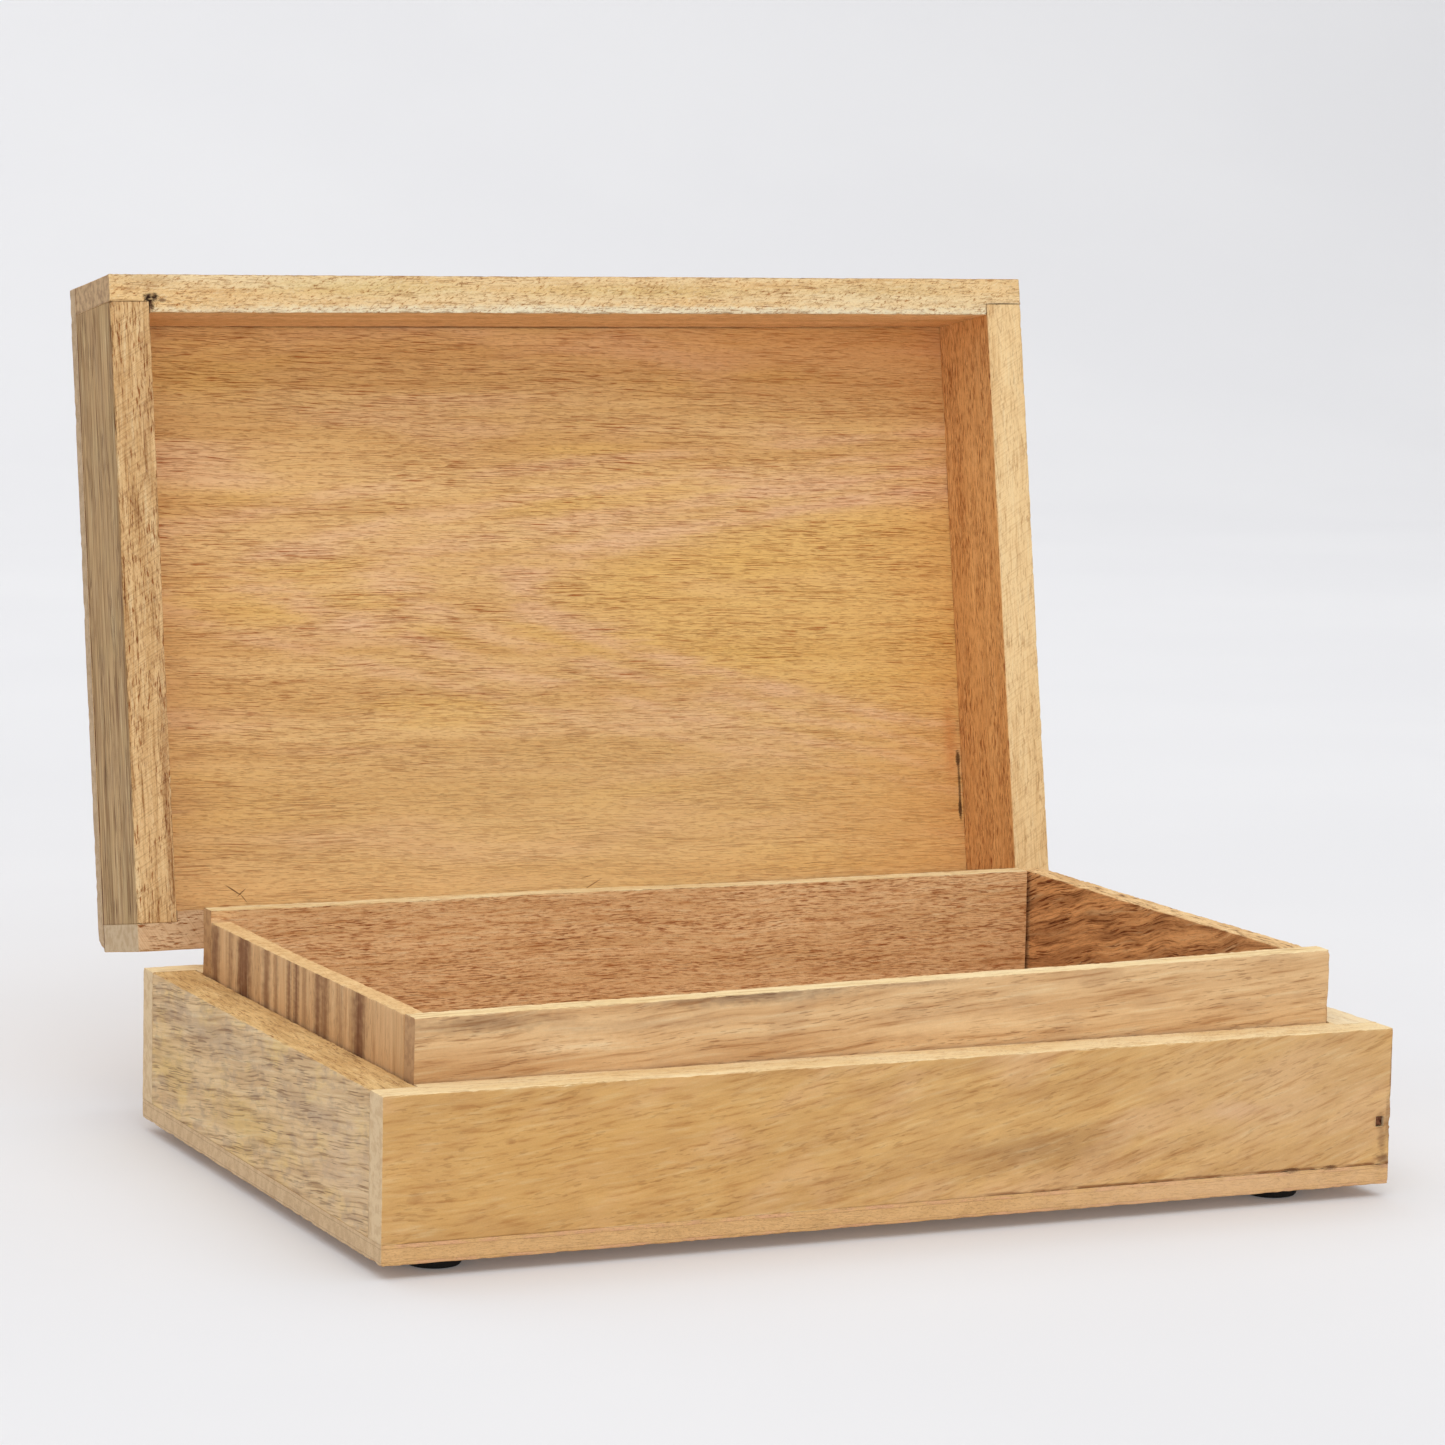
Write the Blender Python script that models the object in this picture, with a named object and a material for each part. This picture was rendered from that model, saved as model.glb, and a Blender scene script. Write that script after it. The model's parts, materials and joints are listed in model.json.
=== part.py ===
"""Plain hinged wooden box, shown open.

A shallow base and a shallow lid, both made of rabbeted boards with a thin plywood panel, four thin
liner boards that stand proud of the base's rim and locate the lid, four rubber pads and two small
stop hinges on the back.  Width runs along X, the front faces -Y, the pads stand on Z = 0.
"""
import math

import bmesh
import bpy
from mathutils import Matrix, Vector

MM = 0.001

# ---- overall ---------------------------------------------------------------------------------
WIDTH = 254.0            # over the side walls
DEPTH = 167.5            # over the front and back walls
GAP = 0.3                # glue line or clearance between neighbouring pieces
EASE = 0.45              # sanded edge

# ---- base ------------------------------------------------------------------------------------
FOOT_R, FOOT_H = 6.35, 2.8
BOTTOM_T = 4.8           # plywood bottom
WALL_H = 32.4            # base walls
FRONT_T, BACK_T, SIDE_T = 11.0, 11.2, 11.1
TONGUE = 7.8             # what the rabbet leaves of the front and back walls

# ---- liner -----------------------------------------------------------------------------------
LINER_FRONT_T, LINER_BACK_T, LINER_LEFT_T, LINER_RIGHT_T = 6.2, 6.0, 5.2, 6.5
LINER_BACK_SHORT = 0.8   # open joint at the right end of the back board
# height above the base's rim at the two ends of each board (left/right or front/back)
LINER_RISE = {"front": (14.5, 17.4), "back": (16.4, 15.9), "left": (14.2, 13.4), "right": (16.4, 15.6)}

# ---- lid -------------------------------------------------------------------------------------
LID_WALL_H = 28.1
LID_TOP_T = 4.8          # plywood top
LID_FRONT_T, LID_BACK_T, LID_SIDE_T = 9.8, 9.8, 10.4
LID_TONGUE = 6.9
OPEN_ANGLE = 99.6        # degrees from closed to the hinges' stop

# ---- hinges ----------------------------------------------------------------------------------
HINGE_X = 78.0           # centre of each hinge, left and right of the middle
HINGE_LEN = 25.0
PIVOT_OUT = 3.0          # pin's axis behind the back face
LEAF_T, LEAF_H = 1.2, 14.0
KNUCKLE_R, BORE_R, PIN_R = 2.4, 1.08, 1.0
PIN_HEAD_R, PIN_HEAD_T = 1.7, 0.7
KNUCKLE_SPLIT = 4.6      # half length of the middle knuckle, which is the lid leaf's
LUG_LEN, LUG_ROOT, LUG_TIP = 6.0, 3.2, 1.7   # stop lug behind the barrel: reach and thickness
SCREW_X, SCREW_Z = 7.0, 8.6
SCREW_HEAD_R, SCREW_HEAD_T, SCREW_R, SCREW_LEN = 2.1, 1.0, 0.9, 8.2
SCREW_SIDES, BARREL_SIDES = 20, 32
SCREW_SLOT, SCREW_CLEAR = (0.44, 0.45), 0.2  # driver slot (width, depth); room round the screw

# ---- brads -----------------------------------------------------------------------------------
BRAD_IN = 3.1            # from the right face
BRAD_UP = (15.2, 22.0)   # front and back, above the underside
BRAD_HEAD, BRAD_SHANK = (1.6, 0.8, 2.0), (1.1, 18.0, 1.2)
BRAD_SUNK, BRAD_CLEAR = 0.6, 0.2

# ---- derived positions -----------------------------------------------------------------------
UNDER_Z = FOOT_H + GAP                       # underside of the bottom panel
WALL_Z = UNDER_Z + BOTTOM_T + GAP            # bottom of the base walls
RIM_Z = WALL_Z + WALL_H
PIVOT_Z = RIM_Z + GAP / 2
LID_Z = RIM_Z + GAP                          # lid's rim while closed
LID_TOP_Z = LID_Z + LID_WALL_H + GAP + LID_TOP_T
_C, _S = math.cos(math.radians(OPEN_ANGLE)), math.sin(math.radians(OPEN_ANGLE))
# distance from the front face to the rearmost corner of the open lid
OPEN_DEPTH = DEPTH + PIVOT_OUT - _C * (DEPTH + PIVOT_OUT) + _S * (LID_TOP_Z - PIVOT_Z)
FRONT_Y = -OPEN_DEPTH / 2
BACK_Y = FRONT_Y + DEPTH
PIVOT = Vector((0.0, BACK_Y + PIVOT_OUT, PIVOT_Z)) * MM
HALF = WIDTH / 2

for old in list(bpy.data.objects):
    bpy.data.objects.remove(old, do_unlink=True)


# ---- materials -------------------------------------------------------------------------------
def material(name, colour, rough, metallic=0.0):
    mat = bpy.data.materials.new(name)
    mat.use_nodes = True
    bsdf = mat.node_tree.nodes["Principled BSDF"]
    bsdf.inputs["Base Color"].default_value = (*colour, 1.0)
    bsdf.inputs["Roughness"].default_value = rough
    bsdf.inputs["Metallic"].default_value = metallic
    mat.diffuse_color = (*colour, 1.0)
    return mat


WALL_WOOD = material("wall_wood", (0.55, 0.36, 0.17), 0.7)
LINER_WOOD = material("liner_wood", (0.48, 0.29, 0.14), 0.75)
PLYWOOD = material("plywood", (0.62, 0.39, 0.18), 0.7)
RUBBER = material("rubber", (0.012, 0.012, 0.012), 0.8)
BRASS = material("brass", (0.66, 0.45, 0.17), 0.35, 1.0)
STEEL = material("steel", (0.30, 0.29, 0.28), 0.4, 1.0)


# ---- mesh helpers ----------------------------------------------------------------------------
def add_object(name, bm, mat, smooth=False):
    """Put a finished bmesh (in mm) into the scene as one object (in m)."""
    bmesh.ops.scale(bm, vec=(MM, MM, MM), verts=bm.verts)
    bmesh.ops.recalc_face_normals(bm, faces=bm.faces)
    mesh = bpy.data.meshes.new(name)
    bm.to_mesh(mesh)
    bm.free()
    for poly in mesh.polygons:
        poly.use_smooth = smooth
    if mat:
        mesh.materials.append(mat)
    obj = bpy.data.objects.new(name, mesh)
    bpy.context.scene.collection.objects.link(obj)
    return obj


def ease(obj, width=EASE):
    mod = obj.modifiers.new("eased_edges", "BEVEL")
    mod.width = width * MM
    mod.segments = 2
    mod.limit_method = "ANGLE"
    mod.angle_limit = math.radians(40)
    mod.use_clamp_overlap = True
    return obj


def prism(name, outline, low, high, mat, along="Z"):
    """Outline (mm) in the plane across one axis, run from low to high along that axis."""
    place = {"Z": lambda a, b, t: (a, b, t), "X": lambda a, b, t: (t, a, b)}[along]
    bm = bmesh.new()
    rings = [[bm.verts.new(place(a, b, t)) for a, b in outline] for t in (low, high)]
    bm.faces.new(rings[0][::-1])
    bm.faces.new(rings[1])
    n = len(outline)
    for i in range(n):
        j = (i + 1) % n
        bm.faces.new((rings[0][i], rings[0][j], rings[1][j], rings[1][i]))
    return add_object(name, bm, mat)


def tapered_board(name, xs, ys, bottom, tops, mat):
    """Upright board; tops gives the top's height at (x0, x1) or, for a deep board, at (y0, y1)."""
    (x0, x1), (y0, y1) = xs, ys
    wide = (x1 - x0) > (y1 - y0)
    bm = bmesh.new()
    corners = [(x0, y0, 0), (x1, y0, 1), (x1, y1, 1), (x0, y1, 0)]
    low = [bm.verts.new((x, y, bottom)) for x, y, _ in corners]
    high = []
    for x, y, at_x1 in corners:
        end = at_x1 if wide else int(y == y1)
        high.append(bm.verts.new((x, y, tops[end])))
    bm.faces.new(low[::-1])
    bm.faces.new(high)
    for i in range(4):
        j = (i + 1) % 4
        bm.faces.new((low[i], low[j], high[j], high[i]))
    return add_object(name, bm, mat)


def box(name, low, high, mat):
    (x0, y0, z0), (x1, y1, z1) = low, high
    return prism(name, [(x0, y0), (x1, y0), (x1, y1), (x0, y1)], z0, z1, mat)


def turned(name, profile, mat, segments=32, axis="Z", centre=(0, 0, 0), smooth=True):
    """Solid of revolution; profile is (radius, height) pairs, ends closed by flat caps."""
    turn = {"Z": Matrix(), "X": Matrix.Rotation(math.pi / 2, 4, "Y"),
            "Y": Matrix.Rotation(-math.pi / 2, 4, "X")}[axis]
    shift = Matrix.Translation(centre) @ turn
    bm = bmesh.new()
    rings = []
    for radius, height in profile:
        ring = []
        for k in range(segments):
            a = 2 * math.pi * k / segments
            ring.append(bm.verts.new(shift @ Vector((radius * math.cos(a), radius * math.sin(a), height))))
        rings.append(ring)
    bm.faces.new(rings[0][::-1])
    bm.faces.new(rings[-1])
    for low, high in zip(rings, rings[1:]):
        for k in range(segments):
            j = (k + 1) % segments
            bm.faces.new((low[k], low[j], high[j], high[k]))
    obj = add_object(name, bm, mat, smooth)
    if smooth:
        for poly in obj.data.polygons:
            poly.use_smooth = len(poly.vertices) == 4
    return obj


def combine(target, other, operation):
    """Cut the other solid out of the target, or fuse it on, and keep the other only as a wire."""
    other.hide_render = True
    other.display_type = "WIRE"
    mod = target.modifiers.new(operation.lower() + "_" + other.name, "BOOLEAN")
    mod.operation = operation
    mod.solver = "EXACT"
    mod.object = other


def cut(target, cutter):
    combine(target, cutter, "DIFFERENCE")


def fuse(target, other):
    combine(target, other, "UNION")


# ---- rabbeted frame: the same four boards for base and lid -------------------------------------
def rabbeted_frame(prefix, z0, z1, front_t, back_t, side_t, tongue):
    inner = HALF - side_t

    def long_board(name, face, thick, inward):
        t, b = face + inward * tongue, face + inward * thick
        shoulder = inner - GAP
        outline = [(-HALF, face), (HALF, face), (HALF, t), (shoulder, t), (shoulder, b),
                   (-shoulder, b), (-shoulder, t), (-HALF, t)]
        if inward < 0:
            outline.reverse()
        return ease(prism(name, outline, z0, z1, WALL_WOOD))

    front = long_board(prefix + "_front_wall", FRONT_Y, front_t, 1)
    back = long_board(prefix + "_back_wall", BACK_Y, back_t, -1)
    y0, y1 = FRONT_Y + tongue + GAP, BACK_Y - tongue - GAP
    left = ease(box(prefix + "_left_wall", (-HALF, y0, z0), (-inner, y1, z1), WALL_WOOD))
    right = ease(box(prefix + "_right_wall", (inner, y0, z0), (HALF, y1, z1), WALL_WOOD))
    return front, back, left, right


base_front, base_back, base_left, base_right = rabbeted_frame(
    "base", WALL_Z, RIM_Z, FRONT_T, BACK_T, SIDE_T, TONGUE)
base_bottom = ease(box("base_bottom_panel", (-HALF, FRONT_Y, UNDER_Z), (HALF, BACK_Y, UNDER_Z + BOTTOM_T),
                       PLYWOOD))

# ---- liner -----------------------------------------------------------------------------------
lx = HALF - SIDE_T - GAP                     # liner's outer faces
ly0, ly1 = FRONT_Y + FRONT_T + GAP, BACK_Y - BACK_T - GAP
rise = {side: (RIM_Z + a, RIM_Z + b) for side, (a, b) in LINER_RISE.items()}
front_in, back_in = ly0 + LINER_FRONT_T, ly1 - LINER_BACK_T
right_in = lx - LINER_RIGHT_T
ease(tapered_board("liner_front", (-lx, lx), (ly0, front_in), WALL_Z, rise["front"], LINER_WOOD))
ease(tapered_board("liner_right", (right_in, lx), (front_in + GAP, ly1), WALL_Z, rise["right"], LINER_WOOD))
ease(tapered_board("liner_back", (-lx, right_in - LINER_BACK_SHORT), (back_in, ly1), WALL_Z, rise["back"],
                   LINER_WOOD))
ease(tapered_board("liner_left", (-lx, -lx + LINER_LEFT_T), (front_in + GAP, back_in - GAP), WALL_Z,
                   rise["left"], LINER_WOOD))

# ---- feet ------------------------------------------------------------------------------------
FOOT_PROFILE = [(FOOT_R - 1.1, 0.0), (FOOT_R - 0.55, 0.15), (FOOT_R - 0.2, 0.6), (FOOT_R, 1.3), (FOOT_R, FOOT_H)]
FEET = {"front_left": (-110.0, 12.4), "front_right": (102.0, 12.4),
        "back_left": (-109.0, DEPTH - 13.5), "back_right": (107.0, DEPTH - 13.0)}
for where, (x, y) in FEET.items():
    turned("foot_" + where, FOOT_PROFILE, RUBBER, centre=(x, FRONT_Y + y, 0))

# ---- lid, built closed ------------------------------------------------------------------------
lid_front, lid_back, lid_left, lid_right = rabbeted_frame(
    "lid", LID_Z, LID_Z + LID_WALL_H, LID_FRONT_T, LID_BACK_T, LID_SIDE_T, LID_TONGUE)
lid_top = ease(box("lid_top_panel", (-HALF, FRONT_Y, LID_TOP_Z - LID_TOP_T), (HALF, BACK_Y, LID_TOP_Z), PLYWOOD))
lid_pieces = [lid_front, lid_back, lid_left, lid_right, lid_top]


# ---- brads through the rabbets into the right wall's ends ---------------------------------------
def brad(name, face_y, inward, z, wall):
    """Square brad driven inward from a face; it and the pocket round it share one shape."""
    x = HALF - BRAD_IN

    def bar(tag, size, start, end, grow, mat):
        (hx, hz), (y0, y1) = size, sorted((face_y + inward * start, face_y + inward * end))
        return box(tag, (x - hx / 2 - grow, y0, z - hz / 2 - grow), (x + hx / 2 + grow, y1, z + hz / 2 + grow), mat)

    (head_x, head_l, head_z), (shank_x, shank_l, shank_z) = BRAD_HEAD, BRAD_SHANK
    neck = BRAD_SUNK + head_l
    piece = bar(name, (head_x, head_z), BRAD_SUNK, neck, 0, STEEL)
    fuse(piece, bar(name + "_shank", (shank_x, shank_z), neck - head_l / 2, neck + shank_l, 0, STEEL))
    cut(wall, bar(name + "_mouth", (head_x, head_z), -1.0, neck + GAP, BRAD_CLEAR, None))
    hole = bar(name + "_hole", (shank_x, shank_z), -1.0, neck + shank_l + GAP, BRAD_CLEAR, None)
    cut(wall, hole)
    cut(base_right, hole)


brad("brad_front", FRONT_Y, 1, UNDER_Z + BRAD_UP[0], base_front)
brad("brad_back", BACK_Y, -1, UNDER_Z + BRAD_UP[1], base_back)

# ---- hinges ----------------------------------------------------------------------------------
PY, PZ = BACK_Y + PIVOT_OUT, PIVOT_Z
LEAF_NEAR = BACK_Y + GAP                     # leaf's face against the wood
LEAF_FAR = LEAF_NEAR + LEAF_T
LUG_TOP = PY - LEAF_FAR - GAP                # the open lid leaf stops just above this
SPAN = 2.0                                   # how far cutters run past what they cut


def screw(name, leaf, wall, x, z):
    """Slotted countersunk screw through a leaf into the wall behind it."""
    at = (x, LEAF_FAR, z)
    profile = [(SCREW_R * 0.4, -SCREW_LEN), (SCREW_R, -SCREW_LEN + 1.6), (SCREW_R, -SCREW_HEAD_T - 0.25),
               (SCREW_R + 0.1, -SCREW_HEAD_T), (SCREW_HEAD_R, -0.12), (SCREW_HEAD_R, 0.0)]
    piece = turned(name, profile, BRASS, SCREW_SIDES, "Y", at)
    width, depth = SCREW_SLOT
    cut(piece, box(name + "_slot", (x - SCREW_HEAD_R - 1, LEAF_FAR - depth, z - width / 2),
                   (x + SCREW_HEAD_R + 1, LEAF_FAR + 1, z + width / 2), None))
    seat = [(r + SCREW_CLEAR, h) for r, h in profile[2:]]
    seat = [(seat[0][0], -LEAF_T - SPAN)] + seat[1:] + [(seat[-1][0], SPAN)]
    cut(leaf, turned(name + "_seat", seat, None, SCREW_SIDES, "Y", at))
    bore = SCREW_R + SCREW_CLEAR
    cut(wall, turned(name + "_pilot", [(bore, -SCREW_LEN - GAP), (bore, SPAN)], None, SCREW_SIDES, "Y", at))
    return piece


def barrel(name, radius, x0, x1):
    return turned(name, [(radius, x0), (radius, x1)], None, BARREL_SIDES, "X", (0, PY, PZ))


def hinge_leaf(tag, body, cx, wall):
    """One leaf with its knuckles. The base's leaf hangs below the axis and carries the stop lugs."""
    side = -1 if body == "base" else 1
    x0, x1 = cx - HINGE_LEN / 2, cx + HINGE_LEN / 2
    outer = [(x0, cx - KNUCKLE_SPLIT - GAP), (cx + KNUCKLE_SPLIT + GAP, x1)]
    middle = [(cx - KNUCKLE_SPLIT, cx + KNUCKLE_SPLIT)]
    own, other = (outer, middle) if body == "base" else (middle, outer)
    name = f"{tag}_{body}_leaf"
    plate = [(LEAF_NEAR, PZ), (LEAF_FAR, PZ), (LEAF_FAR, PZ + side * LEAF_H), (LEAF_NEAR, PZ + side * LEAF_H)]
    leaf = prism(name, plate, x0, x1, BRASS, along="X")
    for i, (a, b) in enumerate(other):
        low, high = sorted((PZ - side * SPAN, PZ + side * (KNUCKLE_R + GAP)))
        a -= SPAN if a == x0 else GAP
        b += SPAN if b == x1 else GAP
        cut(leaf, box(f"{name}_notch{i}", (a, PY - 2 * KNUCKLE_R, low), (b, PY + 2 * KNUCKLE_R, high), None))
    for i, (a, b) in enumerate(own):
        fuse(leaf, barrel(f"{name}_knuckle{i}", KNUCKLE_R, a, b))
        if body == "base":
            lug = [(0.0, LUG_TOP), (LUG_LEN, LUG_TOP), (LUG_LEN, LUG_TOP - LUG_TIP), (0.0, LUG_TOP - LUG_ROOT)]
            outline = [(PY + _S * reach - _C * up, PZ + _C * reach + _S * up) for reach, up in reversed(lug)]
            fuse(leaf, prism(f"{name}_lug{i}", outline, a + 0.01, b - 0.01, None, along="X"))
    cut(leaf, barrel(name + "_bore", BORE_R, x0 - SPAN, x1 + SPAN))
    word = "_".join(("screw", tag.split("_")[1], body))
    screws = [screw(f"{word}_{letter}", leaf, wall, cx + dx, PZ + side * SCREW_Z)
              for letter, dx in (("a", -SCREW_X), ("b", SCREW_X))]
    return [leaf] + screws


def hinge_pin(tag, cx):
    half, cap = HINGE_LEN / 2 + GAP, HINGE_LEN / 2 + GAP + PIN_HEAD_T
    shape = [(PIN_HEAD_R - 0.5, cap), (PIN_HEAD_R, cap - 0.3), (PIN_HEAD_R, half), (PIN_R, half)]
    profile = [(r, cx - h) for r, h in shape] + [(r, cx + h) for r, h in reversed(shape)]
    return turned(tag + "_pin", profile, BRASS, BARREL_SIDES, "X", (0, PY, PZ))


for tag, cx in (("hinge_left", -HINGE_X), ("hinge_right", HINGE_X)):
    hinge_leaf(tag, "base", cx, base_back)
    lid_pieces += hinge_leaf(tag, "lid", cx, lid_back)
    hinge_pin(tag, cx)

# ---- swing the lid open about the pins --------------------------------------------------------
axis = bpy.data.objects.new("lid_axis", None)
bpy.context.scene.collection.objects.link(axis)
axis.empty_display_size = 0.02
axis.location = PIVOT
axis.rotation_euler = (math.radians(-OPEN_ANGLE), 0, 0)


def hang(obj):
    """Parent a closed-position object to the axis so that it swings with it."""
    obj.data.transform(Matrix.Translation(-PIVOT))
    obj.parent = axis


for piece in lid_pieces:
    hang(piece)
    for mod in piece.modifiers:
        if mod.type == "BOOLEAN" and mod.object.parent is None:
            hang(mod.object)
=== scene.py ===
"""Looks of a plain hinged wooden box, shown open.

Every board of the CAD frame is made again as a dense skin with eased, worn and torn edges, in its own
wood. The panels get plywood, the hinges, screws and brads metal, the pads rubber. Lengths are in millimetres
until a mesh is placed. A board's own axes are X along it, Y across it and Z out of its outer face.
"""

import json
import math
import random
from functools import reduce

import bpy
import numpy as np
from mathutils import Matrix, Vector, noise

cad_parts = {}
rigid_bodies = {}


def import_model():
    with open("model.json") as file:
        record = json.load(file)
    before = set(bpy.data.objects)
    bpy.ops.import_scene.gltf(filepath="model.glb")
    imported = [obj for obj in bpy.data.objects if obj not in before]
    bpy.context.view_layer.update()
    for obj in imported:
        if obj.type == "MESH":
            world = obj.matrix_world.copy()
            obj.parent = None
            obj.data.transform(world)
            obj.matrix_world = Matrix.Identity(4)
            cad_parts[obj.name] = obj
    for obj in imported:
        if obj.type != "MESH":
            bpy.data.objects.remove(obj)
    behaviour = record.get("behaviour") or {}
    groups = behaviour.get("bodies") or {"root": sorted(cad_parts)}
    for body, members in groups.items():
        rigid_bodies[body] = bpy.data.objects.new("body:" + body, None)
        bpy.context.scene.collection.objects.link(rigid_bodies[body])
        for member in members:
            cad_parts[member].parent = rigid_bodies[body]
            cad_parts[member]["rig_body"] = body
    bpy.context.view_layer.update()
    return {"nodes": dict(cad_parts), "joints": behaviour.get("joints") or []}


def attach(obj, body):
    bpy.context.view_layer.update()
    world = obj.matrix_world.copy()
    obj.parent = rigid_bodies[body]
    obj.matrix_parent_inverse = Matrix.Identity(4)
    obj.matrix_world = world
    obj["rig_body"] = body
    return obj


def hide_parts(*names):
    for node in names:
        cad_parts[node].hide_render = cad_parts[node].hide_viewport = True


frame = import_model()

MM = 0.001
SEED = 20

# ---- the frame's joint: the lid's boards are made closed and then swung open ----
HINGE = frame["joints"][0]
PIVOT = Vector(HINGE["pos_m"])
OPEN_ANGLE = math.radians(HINGE["range_deg"][1])
SWING = Matrix.Translation(PIVOT) @ Matrix.Rotation(-OPEN_ANGLE, 4, "X") @ Matrix.Translation(-PIVOT)
STAY = Matrix.Identity(4)

# ---- each side's directions: along the board and across it ----
SIDES = {
    "front": ((1, 0, 0), (0, 0, 1)),
    "back": ((-1, 0, 0), (0, 0, 1)),
    "left": ((0, -1, 0), (0, 0, 1)),
    "right": ((0, 1, 0), (0, 0, 1)),
    "bottom": ((1, 0, 0), (0, -1, 0)),
    "top": ((1, 0, 0), (0, 1, 0)),
}


def turn_of(side):
    """Rotation from a board's own axes to the closed box's axes."""
    along, across = (Vector(v) for v in SIDES[side])
    return Matrix((along, across, along.cross(across))).transposed().to_4x4()


def closed_points(node):
    """A CAD node's vertices in mm, with the lid's nodes swung shut."""
    obj = frame["nodes"][node]
    back = SWING.inverted() if obj["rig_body"] == "lid" else STAY
    return np.array([back @ v.co for v in obj.data.vertices]) / MM


def closed_box(node):
    points = closed_points(node)
    return points.min(0), points.max(0)


# ---- mesh: the skin of a lattice of filled cells ----
EDGE_LINES = (0, 0.1, 0.24, 0.42, 0.66, 1, 1.5)
BREAK_ROOM, MIN_STEP = 0.06, 0.02         # between lattice lines: at a break, and anywhere
SEED_SHIFT = (31.7, -12.3, 57.1)
EASE_WAVES = (9, 2.2)                   # feature sizes of a worn edge's changes in radius
OUTER_CLEAR = 0.12                        # torn fibres stay this far under the outer face
SPAN_FADE = 1.5
FIBRE_JOINTS = 4


def lines(low, high, step, breaks=()):
    """Lattice lines across a board: close together at both ends and at any break, even between."""
    marks = {low + d for d in EDGE_LINES} | {high - d for d in EDGE_LINES}
    first, last = low + EDGE_LINES[-1], high - EDGE_LINES[-1]
    count = max(1, round((last - first) / step))
    marks |= {first + (last - first) * i / count for i in range(count + 1)}
    for b in breaks:
        marks = {m for m in marks if abs(m - b) > BREAK_ROOM} | {b}
    out = []
    for m in sorted(marks):
        if not out or m - out[-1] > MIN_STEP:
            out.append(m)
    return np.array(out)


def skin(xs, ys, zs, filled):
    """Vertices and outward quads round the filled cells."""
    strides = np.array((len(ys) * len(zs), len(zs), 1))
    padded = np.pad(filled, 1).astype(np.int8)
    quads = []
    for a in range(3):
        b, c = (a + 1) % 3, (a + 2) % 3
        around = np.cumsum((0, strides[b], strides[c], -strides[b]))
        change = np.diff(padded, axis=a)
        for sign in (1, -1):
            found = np.argwhere(change == sign)
            found[:, [b, c]] -= 1
            quad = (found @ strides)[:, None] + around
            quads.append(quad[:, ::-1] if sign > 0 else quad)
    quads = np.concatenate(quads)
    used, flat = np.unique(quads, return_inverse=True)
    i, rest = np.divmod(used, strides[0])
    j, k = np.divmod(rest, strides[1])
    return np.stack((xs[i], ys[j], zs[k]), 1), flat.reshape(quads.shape)


def normals_of(points, quads):
    """Vertex normals weighted by area."""
    a, b, c, d = (points[quads[:, i]] for i in range(4))
    face = np.cross(c - a, d - b)
    out = np.zeros_like(points)
    for i in range(4):
        np.add.at(out, quads[:, i], face)
    return out / np.maximum(np.linalg.norm(out, axis=1, keepdims=True), 1e-12)


def wander(points, size, seed):
    """Smooth noise about 0 at each point; size is its feature size along each axis."""
    scaled = points / np.array(size, float) + np.array(SEED_SHIFT) * (seed + 1)
    return np.array([noise.noise(Vector(p)) for p in scaled])


def plane_of(code):
    return "xyz".index(code[0]), (1 if code[1] == "+" else -1)


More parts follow.
